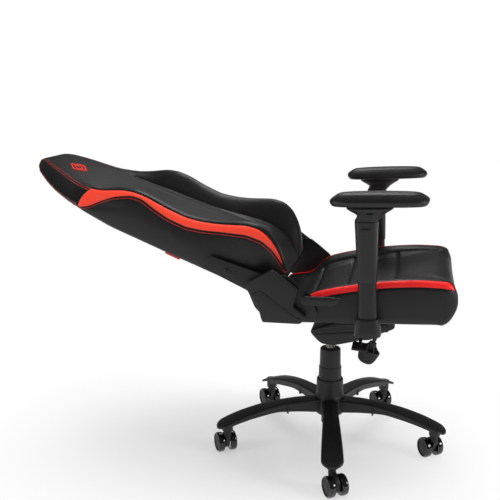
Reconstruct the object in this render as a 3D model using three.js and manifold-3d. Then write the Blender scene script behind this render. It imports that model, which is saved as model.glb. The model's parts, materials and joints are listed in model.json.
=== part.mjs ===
// Gaming chair with its backrest fully reclined.
// Frame: +X is the chair's front, -Y its right side, +Z up, with the floor at z = 0.
// Lengths are in millimetres. The origin is on the floor under the middle of the chair's box, which
// is off its middle plane because one caster stands further out than the armrests.
import * as THREE from 'three';
import { mergeVertices } from 'three/addons/utils/BufferGeometryUtils.js';
import Module from 'manifold-3d';

const wasm = await Module();
wasm.setup();

// ---- driving dimensions -------------------------------------------------------------
const GAP = 0.3;                  // clearance between pieces that touch
const COLUMN = [263.5, 17.5];     // x, y of the gas lift axis; the chair's middle plane runs through it
const SIDES = [['right', -1], ['left', 1]];

const LEG_COUNT = 5;
const LEG_TURN = -82.8;           // direction of the first leg, degrees
const STEM_R = 325;               // caster stems, from the column axis
const LEG_TIP_R = 358;
const HUB_R = 44;
const HUB_TOP = 150;
const HUB_BOTTOM = 100;
const SOCKET_R = 16.5;
const SOCKET_BOTTOM = 72;

const WHEEL_R = 30;
const WHEEL_WIDTH = 20;
const WHEEL_SIDES = 24;
const CASTER_WIDTH = 57;
const CASTER_TRAIL = 20;          // axle offset from the stem
const AXLE_DIR = 32;              // direction of the axles, degrees
const STEM_RADIUS = 5.5;

const CYLINDER_R = 25;
const PISTON_R = 14;
const COVER_TOP = 308;            // top of the highest cover stage
const COVER_STEP_2 = 250;
const COVER_STEP_1 = 210;

const SEAT_PITCH = 2;             // nose-up pitch of the seat, degrees
const SEAT_Z = 460;               // underside of the seat above the column
const SEAT_HALF = 255;
const TILT_PIN = [162, 402];      // x, z of the rocking pivot
const HOUSING_HALF = 46;

const RECLINE = [-155, 512];      // x, z of the recline pivot
const BACK_ORIGIN = [-135, 540];  // x, z of the start of the backrest
const BACK_LEAN = 157;            // direction of the backrest from +X, degrees
const HINGE_Y = 257.5;            // inner face of the hinge plates
const PLATE = 4;                  // steel plate thickness
const COVER_DEPTH = 19;

const ARM_Y = 288;                // armrest posts
const ARM_X = 125.5;
const POST = [24.5, 16.5];        // half sizes of the inner post
const POST_TOP = 172;
const SLEEVE_Z = [130, 290];
const BUTTON_Z = 268;
const CARRIER_TOP = 327;
const PAD_Z = [331.3, 367];
const PAD_CENTRE_X = 159;
const PAD_HALF = [127, 52];
const PAD_TOE_IN = 4.3;           // degrees

const BLACK_STEEL = [0x1b1b1c, 0.45, 0.6];
const BLACK_PLASTIC = [0x161616, 0.55, 0];
const GREY_STEEL = [0x9a9a98, 0.3, 1];
const LEATHER = [0x191919, 0.5, 0];

// ---- helpers ------------------------------------------------------------------------
const rad = THREE.MathUtils.degToRad;

/** A mesh named `name`, with a colour, roughness and metalness. */
function mesh(name, geometry, [color, roughness, metalness]) {
  const material = new THREE.MeshStandardMaterial({ color, roughness, metalness });
  const m = new THREE.Mesh(geometry, material);
  m.name = name;
  return m;
}

/** The same surface with shared vertices, no empty triangles and its faces pointing out. */
function closed(geometry) {
  const g = geometry.clone();
  g.deleteAttribute('normal');
  g.deleteAttribute('uv');
  const merged = mergeVertices(g, 1e-3);
  const kept = [];
  for (let i = 0; i < merged.index.count; i += 3) {
    const [a, b, c] = [0, 1, 2].map((k) => merged.index.getX(i + k));
    if (a !== b && b !== c && c !== a) {
      kept.push(a, b, c);
    }
  }
  merged.setIndex(kept);
  return volume(merged) > 0 ? merged : flipped(merged);
}

/** The solid that a closed geometry encloses. */
function solid(geometry) {
  const g = closed(geometry);
  return new wasm.Manifold(new wasm.Mesh({
    numProp: 3,
    vertProperties: new Float32Array(g.attributes.position.array),
    triVerts: new Uint32Array(g.index.array),
  }));
}

/** The geometry of a solid. */
function geometryOf(body) {
  const { vertProperties, triVerts } = body.getMesh();
  const g = new THREE.BufferGeometry();
  g.setAttribute('position', new THREE.BufferAttribute(new Float32Array(vertProperties), 3));
  g.setIndex(new THREE.BufferAttribute(new Uint32Array(triVerts), 1));
  g.computeVertexNormals();
  return g;
}

const join = (...parts) => geometryOf(parts.map(solid).reduce((a, b) => a.add(b)));
const cut = (body, ...tools) => geometryOf(tools.map(solid).reduce((a, b) => a.subtract(b), solid(body)));

/** A closed skin over rings of points, all of one length, with flat ends. */
function loft(rings) {
  const n = rings[0].length;
  const points = rings.flat();
  const index = [];
  for (let k = 0; k + 1 < rings.length; k++) {
    for (let i = 0; i < n; i++) {
      const j = (i + 1) % n;
      const [a, b, c, d] = [k * n + i, k * n + j, (k + 1) * n + j, (k + 1) * n + i];
      index.push(a, b, c, a, c, d);
    }
  }
  const cap = (ring, first, forwards) => {
    const centre = points.push([0, 1, 2].map((c) => ring.reduce((sum, p) => sum + p[c], 0) / n)) - 1;
    for (let i = 0; i < n; i++) {
      const [a, b] = [first + i, first + (i + 1) % n];
      index.push(centre, ...(forwards ? [a, b] : [b, a]));
    }
  };
  cap(rings[0], 0, false);
  cap(rings.at(-1), (rings.length - 1) * n, true);
  const g = new THREE.BufferGeometry();
  g.setAttribute('position', new THREE.Float32BufferAttribute(points.flat(), 3));
  g.setIndex(index);
  return closed(g);
}

/** Six times the signed volume of a closed indexed geometry. */
function volume(g) {
  const [a, b, c] = [new THREE.Vector3(), new THREE.Vector3(), new THREE.Vector3()];
  let sum = 0;
  for (let i = 0; i < g.index.count; i += 3) {
    a.fromBufferAttribute(g.attributes.position, g.index.getX(i));
    b.fromBufferAttribute(g.attributes.position, g.index.getX(i + 1));
    c.fromBufferAttribute(g.attributes.position, g.index.getX(i + 2));
    sum += a.dot(b.cross(c));
  }
  return sum;
}

/** The same geometry with its faces turned over. */
function flipped(g) {
  const order = Array.from(g.index.array);
  for (let i = 0; i < order.length; i += 3) {
    [order[i], order[i + 1]] = [order[i + 1], order[i]];
  }
  g.setIndex(order);
  return g;
}

/** An outline of x, z points extruded along Y from y0 to y1, with optional round edges. */
function prism(points, y0, y1, bevel = 0) {
  const shape = new THREE.Shape(points.map(([x, z]) => new THREE.Vector2(x, z)));
  const g = new THREE.ExtrudeGeometry(shape, {
    depth: y1 - y0 - 2 * bevel,
    bevelEnabled: bevel > 0,
    bevelThickness: bevel,
    bevelSize: bevel,
    bevelOffset: -bevel,
    bevelSegments: 1,
  });
  return g.rotateX(Math.PI / 2).translate(0, y1 - bevel, 0);
}

/** A turned solid about Z from r, z points; the profile closes on itself or on the axis. */
function turned(profile, segments = 24) {
  const points = profile.map(([r, z]) => new THREE.Vector2(r, z));
  return closed(new THREE.LatheGeometry(points, segments).rotateX(Math.PI / 2));
}

/** A round bar between two points. */
function bar(from, to, radius, sides = 20) {
  const [a, b] = [new THREE.Vector3(...from), new THREE.Vector3(...to)];
  const g = new THREE.CylinderGeometry(radius, radius, a.distanceTo(b), sides);
  const along = b.clone().sub(a).normalize();
  const turn = new THREE.Quaternion().setFromUnitVectors(new THREE.Vector3(0, 1, 0), along);
  return g.applyQuaternion(turn).translate(...a.clone().add(b).multiplyScalar(0.5).toArray());
}

/** A box from its lowest to its highest corner. */
function box(low, high) {
  const size = high.map((v, i) => v - low[i]);
  return new THREE.BoxGeometry(...size).translate(...high.map((v, i) => (v + low[i]) / 2));
}

/** A ring of a rounded rectangle at height z: |x/a|^p + |y/b|^p = 1. */
function roundedRing(a, b, z, cx = 0, cy = 0, count = 24, power = 4) {
  return Array.from({ length: count }, (_, i) => {
    const t = (i + 0.5) / count * 2 * Math.PI;
    const [c, s] = [Math.cos(t), Math.sin(t)];
    const x = a * Math.sign(c) * Math.abs(c) ** (2 / power);
    const y = b * Math.sign(s) * Math.abs(s) ** (2 / power);
    return [cx + x, cy + y, z];
  });
}

/** Straight-line interpolation in a table of [x, value] rows. */
function lerp(table, x) {
  const i = Math.max(1, table.findIndex(([at]) => at >= x));
  const k = x > table.at(-1)[0] ? table.length - 1 : i;
  const [[x0, v0], [x1, v1]] = [table[k - 1], table[k]];
  return v0 + (v1 - v0) * Math.min(1, Math.max(0, (x - x0) / (x1 - x0)));
}

// ---- star base ----------------------------------------------------------------------
const LEG_TOP = [[20, 149], [100, 152], [160, 149], [220, 140], [280, 125], [330, 107], [350, 97],
  [LEG_TIP_R, 91]];
const LEG_WEB = [[20, 101], [100, 113], [175, 119], [255, 104], [300, 92], [316, 87]];
const LEG_HALF = [[20, 24], [60, 24], [140, 22.5], [260, 28], [320, 30], [340, 26], [352, 17],
  [LEG_TIP_R, 9]];
const FLANGE = 9;                 // thickness of the leg's upper flange

/** One arched leg along +X: a crowned flange over a narrower web. */
function leg() {
  const flangeAt = (r) => {
    const [w, top] = [lerp(LEG_HALF, r), lerp(LEG_TOP, r)];
    return [[-w, top - FLANGE], [-w, top - 5], [-w * 0.6, top], [w * 0.6, top], [w, top - 5],
      [w, top - FLANGE]]
      .map(([y, z]) => [r, y, z]);
  };
  const webAt = (r) => {
    const [w, top, low] = [Math.min(16, lerp(LEG_HALF, r) - 3), lerp(LEG_TOP, r), lerp(LEG_WEB, r)];
    return [[-w, top - 4], [w, top - 4], [w - 3, low], [-w + 3, low]].map(([y, z]) => [r, y, z]);
  };
  const flange = loft([20, 100, 160, 220, 280, 320, 340, 352, LEG_TIP_R].map(flangeAt));
  const web = loft([20, 110, 175, 225, 270, 316].map(webAt));
  const socket = turned([[0, SOCKET_BOTTOM], [SOCKET_R, SOCKET_BOTTOM], [SOCKET_R, 103], [0, 103]], 16)
    .translate(STEM_R, 0, 0);
  return [flange, web, socket];
}

function starBase() {
  const hub = turned([[0, HUB_BOTTOM], [HUB_R - 4, HUB_BOTTOM], [HUB_R, HUB_BOTTOM + 8], [HUB_R, HUB_TOP - 2],
    [HUB_R - 2, HUB_TOP], [0, HUB_TOP]], 30);
  const legs = [];
  const holes = [turned([[0, 60], [CYLINDER_R + GAP, 60], [CYLINDER_R + GAP, 200], [0, 200]], 30)];
  for (let i = 0; i < LEG_COUNT; i++) {
    const angle = rad(LEG_TURN + i * 360 / LEG_COUNT);
    legs.push(...leg().map((g) => g.rotateZ(angle)));
    const hole = STEM_RADIUS + GAP;
    holes.push(turned([[0, 60], [hole, 60], [hole, 96.5], [0, 96.5]], 12)
      .translate(STEM_R * Math.cos(angle), STEM_R * Math.sin(angle), 0));
  }
  return cut(join(hub, ...legs), ...holes);
}

// ---- casters ------------------------------------------------------------------------
/** Caster body: a web between the wheels, an arm and the swivel stem, with its stem on the Z axis. */
function casterFork(side) {
  const half = (CASTER_WIDTH - 2 * WHEEL_WIDTH) / 2 - 1;
  const trail = side * CASTER_TRAIL;
  const outline = [[-11, 64], [-11, 50], [0, 30], [8, 16], [20, 9], [32, 14], [40, 28], [38, 44], [28, 56],
    [11, 64]]
    .map(([x, z]) => [side * x, z]);
  const body = prism(outline, -half, half);
  const collar = turned([[0, 56], [10, 56], [10, 69], [0, 69]], 14);
  const stem = turned([[0, 60], [STEM_RADIUS, 60], [STEM_RADIUS, 94], [STEM_RADIUS - 1.5, 96], [0, 96]], 12);
  const hole = bar([trail, -half - 1, WHEEL_R], [trail, half + 1, WHEEL_R], 4 + GAP, 12);
  return cut(join(body, collar, stem), hole);
}

/** Twin wheels on one axle along Y, standing on a flat of the tread. */
function casterWheels(side) {
  const trail = side * CASTER_TRAIL;
  const outer = CASTER_WIDTH / 2;
  const inner = outer - WHEEL_WIDTH;
  const radius = WHEEL_R / Math.cos(Math.PI / WHEEL_SIDES);
  const wheel = (y0, y1) => {
    const rings = [[y0, radius - 3], [y0 + 3, radius], [y1 - 3, radius], [y1, radius - 3]];
    return loft(rings.map(([y, r]) => Array.from({ length: WHEEL_SIDES }, (_, i) => {
      const t = (i + 0.5) / WHEEL_SIDES * 2 * Math.PI - Math.PI / 2;
      return [trail + r * Math.cos(t), y, WHEEL_R + r * Math.sin(t)];
    })));
  };
  const axle = bar([trail, -outer + 1, WHEEL_R], [trail, outer - 1, WHEEL_R], 4, 12);
  return join(wheel(-outer, -inner), wheel(inner, outer), axle);
}

function casters() {
  const group = new THREE.Group();
  for (let i = 0; i < LEG_COUNT; i++) {
    const angle = rad(LEG_TURN + i * 360 / LEG_COUNT);
    const caster = new THREE.Group();
    caster.position.set(STEM_R * Math.cos(angle), STEM_R * Math.sin(angle), 0);
    caster.rotation.z = rad(AXLE_DIR + 90 - 180);
    const side = i === 0 ? 1 : -1;
    caster.add(mesh(`caster_fork_${i + 1}`, casterFork(side), BLACK_PLASTIC));
    caster.add(mesh(`caster_wheels_${i + 1}`, casterWheels(side), BLACK_PLASTIC));
    group.add(caster);
  }
  return group;
}

// ---- gas lift -----------------------------------------------------------------------
function column() {
  const group = new THREE.Group();
  const cylinder = [[PISTON_R + GAP, 66], [PISTON_R + GAP, 226], [CYLINDER_R - 2, 226], [CYLINDER_R, 223],
    [CYLINDER_R, 66], [PISTON_R + GAP, 66]];
  const piston = [[0, 150], [PISTON_R - 1, 150], [PISTON_R, 152], [PISTON_R, 366], [PISTON_R - 1, 368],
    [0, 368]];
  const lower = [[CYLINDER_R + 11, HUB_TOP + GAP], [45, HUB_TOP + GAP], [45, 156], [43, 159],
    [40, COVER_STEP_1], [CYLINDER_R + 11, COVER_STEP_1], [CYLINDER_R + 11, HUB_TOP + GAP]];
  const middle = [[32.8, 198], [35.6, 198], [35, COVER_STEP_1], [33.8, COVER_STEP_2], [32.8, COVER_STEP_2],
    [32.8, 198]];
  const upper = [[30, 238], [32.4, 238], [32.2, COVER_STEP_2], [31, COVER_TOP - 2], [30, COVER_TOP],
    [PISTON_R + 0.5, COVER_TOP], [PISTON_R + 0.5, COVER_TOP - 4], [27, COVER_TOP - 4], [30, 300], [30, 238]];
  group.add(mesh('gas_cylinder', turned(cylinder, 24), BLACK_STEEL));
  group.add(mesh('gas_piston', turned(piston, 20), GREY_STEEL));
  group.add(mesh('cover_lower', turned(lower, 28), BLACK_PLASTIC));
  group.add(mesh('cover_middle', turned(middle, 28), BLACK_PLASTIC));
  group.add(mesh('cover_upper', turned(upper, 28), BLACK_PLASTIC));
  return group;
}

// ---- mechanism ----------------------------------------------------------------------
const HOUSING = [[-74, 362], [-34, 336], [-20, 331], [20, 330], [71, 343], [92, 349], [124, 352], [150, 372],
  [188, 388], [194, 396], [188, 410], [174, 418], [130, 416], [40, 408], [16, 402], [-23, 387], [-66, 372]];

function tiltHousing() {
  const body = prism(HOUSING, -HOUSING_HALF, HOUSING_HALF, 3);
  const rib = [[-60, 358], [-28, 342], [60, 350], [110, 362], [108, 368], [58, 357], [-28, 349], [-58, 364]];
  const ribs = SIDES.map(([, side]) => sidePrism(side, rib, HOUSING_HALF - 1, HOUSING_HALF + 2));
  const trayOutline = [[40, 366], [120, 372], [150, 392], [150, 440], [40, 440]];
  const tray = prism(trayOutline, -HOUSING_HALF + 6, HOUSING_HALF - 6);
  const socket = turned([[0, 300], [PISTON_R + GAP, 300], [PISTON_R + GAP, 368.4], [0, 368.4]], 24);
  const pin = bar([TILT_PIN[0], -80, TILT_PIN[1]], [TILT_PIN[0], 80, TILT_PIN[1]], 7 + GAP, 20);
  const knobHole = bar(...KNOB_AXIS, 6 + GAP, 16);
  const levers = LEVERS.map(([, , x, z]) => bar([x, -80, z], [x, 80, z], 5 + GAP, 16));
  return cut(join(body, ...ribs), tray, socket, pin, knobHole, ...levers);
}

const KNOB_TILT = rad(22);
const KNOB_RIM = [121, -30, 318]; // middle of the knob's rim
const KNOB_WAY = [Math.sin(KNOB_TILT), 0, Math.cos(KNOB_TILT)];
const alongKnob = (d) => KNOB_RIM.map((q, i) => q + d * KNOB_WAY[i]);
const KNOB_AXIS = [alongKnob(-10), alongKnob(72)];

/** Fluted cup with a neck and a threaded shank, turned about its own axis. */
function tensionKnob() {
  const flutes = 18;
  const ring = (r, z, depth) => Array.from({ length: flutes * 2 }, (_, i) => {
    const t = i / (flutes * 2) * 2 * Math.PI;
    const rr = r - (i % 2) * depth;
    return [rr * Math.cos(t), rr * Math.sin(t), z];
  });
  const cup = loft([ring(14, -42, 0), ring(23, -38, 1), ring(28, -26, 2), ring(31, -8, 2), ring(32, 0, 0.5),
    ring(30, 2, 0.5)]);
  const neck = turned([[0, 0], [14, 0], [11, 26], [0, 26]], 20);
  const shank = turned([[0, 20], [6, 20], [6, 66], [5, 68], [0, 68]], 16);
  return join(cup, neck, shank).rotateY(KNOB_TILT).translate(...KNOB_RIM);
}

// name, side, x, z of the pivot inside the housing
const LEVERS = [['height_lever', -1, 88, 392], ['tilt_lever', 1, 88, 392]];

/** Bent lever out of the housing's side, with a flat paddle at its end. */
function lever(side, x, z) {
  const reach = [[x, side * 20, z], [x, side * 118, z], [x + 12, side * 140, z - 6],
    [x + 12, side * 196, z - 10]];
  const rod = [0, 1, 2].map((i) => bar(reach[i], reach[i + 1], 5, 12));
  const joints = [1, 2].map((i) => new THREE.SphereGeometry(5, 12, 8).translate(...reach[i]));
  const [px, , pz] = reach[3];
  const blade = [[-20, -4], [20, -7], [24, -4], [22, 0], [-18, 4], [-22, 1]];
  const paddle = sidePrism(side, blade, 160, 222, 1.5).translate(px, 0, pz);
  return join(...rod, ...joints, paddle);
}

function mechanism() {
  const group = new THREE.Group();
  group.add(mesh('tilt_housing', tiltHousing(), BLACK_STEEL));
  const [px, pz] = TILT_PIN;
  group.add(mesh('tilt_pin', bar([px, -73, pz], [px, 73, pz], 7, 20), GREY_STEEL));
  group.add(mesh('tension_knob', tensionKnob(), BLACK_PLASTIC));
  for (const [name, side, x, z] of LEVERS) {
    group.add(mesh(name, lever(side, x, z), BLACK_STEEL));
  }
  return group;
}

// ---- seat ---------------------------------------------------------------------------
/** Seat frame: origin on the underside above the column, +X along the seat. */
function seatGroup() {
  const group = new THREE.Group();
  group.position.z = SEAT_Z;
  group.rotation.y = rad(-SEAT_PITCH);
  return group;
}

/** A point of the upright frame in the pitched seat frame. */
function inSeat(x, z) {
  const [c, s] = [Math.cos(rad(SEAT_PITCH)), Math.sin(rad(SEAT_PITCH))];
  return [x * c + (z - SEAT_Z) * s, -x * s + (z - SEAT_Z) * c];
}

// Along the seat: x, then the height of the bolster crest, the middle and the underside.
const CREST = [[-168, 20], [-160, 26], [-130, 28], [-100, 30], [-84, 34], [-66, 48], [-44, 70], [-25, 84],
  [6, 91], [38, 99], [127, 113], [196, 118], [259, 120], [321, 113], [346, 103], [358, 84], [363, 66]];
const MIDDLE = [[-168, 20], [-160, 26], [-130, 28], [-100, 30], [-84, 33], [-59, 42], [-20, 55], [6, 62],
  [60, 76], [127, 86], [196, 97], [259, 108], [321, 108], [346, 99], [358, 82], [363, 64]];
const UNDERSIDE = [[-168, 12], [-160, 2], [-150, 0], [321, 0], [340, 16], [356, 36], [363, 56]];

function seatCushion() {
  const ring = (x) => {
    const [crest, mid, low] = [CREST, MIDDLE, UNDERSIDE].map((table) => lerp(table, x));
    const shrink = x > 340 ? (x - 340) * 0.5 : 0;
    const w = SEAT_HALF - shrink;
    const rise = crest - mid;
    const tall = crest - low;
    const half = [[0, mid], [120, mid + 1], [175, mid + 0.25 * rise], [205, mid + 0.7 * rise],
      [222, crest - 2], [236, crest], [w - 8, crest - 0.1 * tall], [w - 1, crest - 0.3 * tall],
      [w, low + 0.35 * tall], [w - 6, low]];
    const other = half.slice(1).reverse().map(([y, z]) => [-y, z]);
    return [...half, ...other].map(([y, z]) => [x, y, z]);
  };
  const at = [-168, -160, -130, -100, -84, -66, -44, -25, 6, 60, 127, 196, 259, 321, 340, 352, 358, 363];
  const skin = loft(at.map(ring));
  const pocket = box([PAN_X[0] - GAP, -PAN_HALF - GAP, -5], [PAN_X[1] + GAP, PAN_HALF + GAP, PAN_TOP + GAP]);
  return cut(skin, pocket);
}

const PAN_X = [-140, 300];
const PAN_HALF = 215;
const PAN_TOP = 16;

function seatPan() {
  const plate = box([PAN_X[0], -PAN_HALF, 2], [PAN_X[1], PAN_HALF, PAN_TOP]);
  const slots = [-90, 40, 170].map((x) => box([x, -150, -10], [x + 70, 150, PAN_TOP + 10]));
  return cut(plate, ...slots);
}

/** Rocker channel under the seat with ears that hang on the tilt pin. */
function tiltPlate() {
  const top = box([-100, -78, -5], [190, 78, -GAP]);
  const [px, pz] = inSeat(...TILT_PIN);
  const ear = (y0, y1) => prism([[-60, -28], [120, -34], [px - 18, pz - 6], [px - 10, pz - 16],
    [px + 10, pz - 16], [px + 18, pz - 6], [186, -4], [-80, -4]], y0, y1);
  const holes = bar([px, -90, pz], [px, 90, pz], 7 + GAP, 20);
  const neck = [box([-30, -50, -44], [10, -46, -4]), box([-30, 46, -44], [10, 50, -4])];
  return cut(join(top, ear(-66, -61), ear(61, 66), ...neck), holes);
}

// ---- recliner -----------------------------------------------------------------------
/** An x, z outline between two distances from the middle of the chair, on one side of it. */
function sidePrism(side, points, yNear, yFar, bevel = 0) {
  return side < 0 ? prism(points, -yFar, -yNear, bevel) : prism(points, yNear, yFar, bevel);
}

const HINGE_PLATE = [[-168, 474], [-182, 520], [-176, 556], [-140, 596], [-92, 592], [-64, 570],
  [-29, 541], [-21, 512], [-11, 492], [-15, 484], [-32, 480]];
const COVER = [[-134, 613], [-62, 559], [-76, 514], [-38, 484], [-56, 466], [-160, 466], [-172, 508],
  [-198, 547], [-204, 566], [-198, 578]];
const SHELL = 2.5;                // wall of the plastic covers

/** Plastic shell over the hinge, open towards the seat. */
function reclinerCover(side) {
  const y0 = HINGE_Y + 2 * PLATE + 3;
  const y1 = y0 + COVER_DEPTH;
  const outer = sidePrism(side, COVER, y0, y1, 2);
  const centre = [-124, 536];
  const inner = COVER.map((corner) => corner.map((q, i) => THREE.MathUtils.lerp(centre[i], q, 0.92)));
  return cut(outer, sidePrism(side, inner, y0 - 5, y1 - SHELL));
}

const backDir = [Math.cos(rad(BACK_LEAN)), Math.sin(rad(BACK_LEAN))];
const backFront = [backDir[1], -backDir[0]];
/** x, z of a point s along the backrest and t towards its front. */
const onBack = (s, t) => [BACK_ORIGIN[0] + s * backDir[0] + t * backFront[0],
  BACK_ORIGIN[1] + s * backDir[1] + t * backFront[1]];
const PIVOT_ST = [7.5, -33.6];    // the recline pivot as s, t
const ARM_STRIP = [[205, 20], [192, 60], [10, 76], [-22, 44], [-31, 0], [-22, -22], [0, -31], [24, -20],
  [58, 14]]
  .map(([s, t]) => onBack(s + PIVOT_ST[0], t + PIVOT_ST[1]));
const BOLT_AT = onBack(140.7, 6.5);

function backArm(side) {
  const y0 = HINGE_Y + PLATE + 1;
  const strip = sidePrism(side, ARM_STRIP, y0, y0 + PLATE);
  const bore = bar([RECLINE[0], -400, RECLINE[1]], [RECLINE[0], 400, RECLINE[1]], 6 + GAP, 20);
  return cut(strip, bore);
}

function recliner() {
  const group = new THREE.Group();
  const bore = bar([RECLINE[0], -400, RECLINE[1]], [RECLINE[0], 400, RECLINE[1]], 6 + GAP, 20);
  const reach = HINGE_Y + 2 * PLATE + 2;
  const [px, pz] = RECLINE;
  group.add(mesh('recline_shaft', bar([px, -reach, pz], [px, reach, pz], 6, 20), GREY_STEEL));
  for (const [name, side] of SIDES) {
    const plate = cut(sidePrism(side, HINGE_PLATE, HINGE_Y, HINGE_Y + PLATE), bore);
    group.add(mesh(`hinge_plate_${name}`, plate, BLACK_STEEL));
    group.add(mesh(`recliner_cover_${name}`, reclinerCover(side), BLACK_PLASTIC));
  }
  group.add(mesh('recline_lever', reclineLever(), BLACK_PLASTIC));
  const y = -LEVER_Y[1];
  const [lx, lz] = LEVER_PIVOT;
  const screw = bar([lx, y - 1, lz], [lx, y + 3 - GAP, lz], 4.5, 16);
  group.add(mesh('lever_screw', screw, GREY_STEEL));
  return group;
}

const LEVER_PIVOT = [-42, 534];
const LEVER_Y = [288, 300];
const LEVER = [[-54, 538], [-46, 546], [20, 548], [54, 545], [44, 532], [34, 525], [-48, 523]];

/** Release handle with a boss that reaches in to the hinge plate. */
function reclineLever() {
  const [x, z] = LEVER_PIVOT;
  const handle = prism(LEVER, -LEVER_Y[1], -LEVER_Y[0], 2);
  const boss = bar([x, -LEVER_Y[0] - 2, z], [x, -HINGE_Y - PLATE - 2 * GAP, z], 8, 20);
  const sink = bar([x, -LEVER_Y[1] - 5, z], [x, -LEVER_Y[1] + 3, z], 4.5 + GAP, 16);
  return cut(join(handle, boss), sink);
}

// ---- backrest -----------------------------------------------------------------------
// Along the backrest: s, then the half width and the t of the rear, the wing crest and the middle.
const BACK_HALF = [[-14, 196], [0, 212], [60, 240], [150, 252], [330, 244], [480, 252], [590, 260], [640, 246],
  [690, 208], [760, 162], [806, 140], [822, 120]];
const BACK_REAR = [[-14, 0], [0, -12], [64, -27], [141, -30], [322, -35], [497, -33], [600, -20], [707, -14],
  [752, -6], [806, 2], [822, 10]];
const BACK_CREST = [[-14, 36], [0, 56], [17, 80], [45, 110], [76, 132], [110, 143], [148, 138], [206, 122],
  [255, 103], [311, 82], [375, 72], [430, 76], [480, 82], [520, 78], [562, 60], [600, 42], [650, 33],
  [740, 36], [806, 34], [822, 28]];
const BACK_MIDDLE = [[-14, 22], [0, 34], [45, 56], [110, 66], [206, 60], [311, 48], [430, 36], [520, 30],
  [600, 30], [650, 34], [740, 38], [806, 35], [822, 28]];

function backCushion() {
  const ring = (s) => {
    const tables = [BACK_HALF, BACK_REAR, BACK_CREST, BACK_MIDDLE];
    const [w, rear, crest, mid] = tables.map((table) => lerp(table, s));
    const rise = crest - mid;
    const deep = crest - rear;
    const half = [[0, mid], [w * 0.45, mid], [w * 0.62, mid + 0.25 * rise], [w * 0.75, mid + 0.8 * rise],
      [w * 0.87, crest], [w * 0.95, crest - 0.12 * deep], [w, rear + 0.45 * deep],
      [w - 8, rear + 0.12 * deep], [w - 34, rear]];
    const other = half.map(([y, t]) => [-y, t]).reverse().slice(0, -1);
    return [...half, ...other].map(([y, t]) => {
      const [x, z] = onBack(s, t);
      return [x, y, z];
    });
  };
  const at = [-14, 0, 17, 45, 76, 110, 148, 206, 255, 311, 375, 430, 480, 520, 562, 600, 640, 690, 740, 790,
    812, 822];
  return cut(loft(at.map(ring)), backTube(FRAME_R + GAP));
}

const FRAME_R = 11;

/** The frame's tube: feet at the bolts of the steel strips, up inside the wings and over the shoulders. */
function backTube(radius) {
  const half = [[HINGE_Y + PLATE + 1 - GAP, 141, 7], [246, 141, 7], [232, 142, 7], [212, 160, 8],
    [204, 200, 8], [204, 300, 8], [206, 480, 8], [196, 560, 8], [150, 600, 10], [90, 640, 12], [80, 720, 16],
    [60, 750, 18]];
  const points = [...half.map(([y, s, t]) => [-y, s, t]), ...half.toReversed()].map(([y, s, t]) => {
    const [x, z] = onBack(s, t);
    return new THREE.Vector3(x, y, z);
  });
  const sides = 6;
  const shape = new THREE.Shape(Array.from({ length: sides }, (_, i) => {
    const a = (i + 0.5) / sides * 2 * Math.PI;
    return new THREE.Vector2(radius * Math.cos(a), radius * Math.sin(a));
  }));
  const path = new THREE.CatmullRomCurve3(points, false, 'centripetal');
  return new THREE.ExtrudeGeometry(shape, { steps: 56, extrudePath: path, bevelEnabled: false });
}

function backrest() {
  const group = new THREE.Group();
  group.add(mesh('back_frame', backTube(FRAME_R), BLACK_STEEL));
  group.add(mesh('back_cushion', backCushion(), LEATHER));
  for (const [name, side] of SIDES) {
    group.add(mesh(`back_arm_${name}`, backArm(side), BLACK_STEEL));
    const y0 = HINGE_Y + 2 * PLATE + 1 + GAP;
    const head = bar([BOLT_AT[0], side * y0, BOLT_AT[1]], [BOLT_AT[0], side * (y0 + 4), BOLT_AT[1]], 8, 6);
    group.add(mesh(`back_bolt_${name}`, head, BLACK_STEEL));
  }
  return group;
}

// ---- armrests -----------------------------------------------------------------------
const UPRIGHT = [18, 3];          // half sizes of the bracket's upright

/** L-shaped steel bracket, drawn across the chair and extruded along it. */
function armBracket(side, grow = 0) {
  const g = new THREE.Shape([[112, -6 - grow], [ARM_Y + UPRIGHT[1] + grow, -6 - grow],
    [ARM_Y + UPRIGHT[1] + grow, 110],
    [ARM_Y - UPRIGHT[1] - grow, 110], [ARM_Y - UPRIGHT[1] - grow, grow - GAP - 0.5], [112, grow - GAP - 0.5]]
    .map(([y, z]) => new THREE.Vector2(y, z)));
  const half = UPRIGHT[0] + grow;
  const slab = new THREE.ExtrudeGeometry(g, { depth: 2 * half, bevelEnabled: false });
  // the outline's (y, z) plane turns upright and its depth runs along X
  const [along, across, up] = [[1, 0, 0], [0, 1, 0], [0, 0, 1]].map((v) => new THREE.Vector3(...v));
  slab.applyMatrix4(new THREE.Matrix4().makeBasis(across, up, along));
  slab.translate(ARM_X - half, 0, 0);
  return side > 0 ? slab : mirrorY(slab);
}

/** The geometry mirrored across the XZ plane, faces still outwards. */
function mirrorY(g) {
  return closed(g.clone().scale(1, -1, 1));
}

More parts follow.
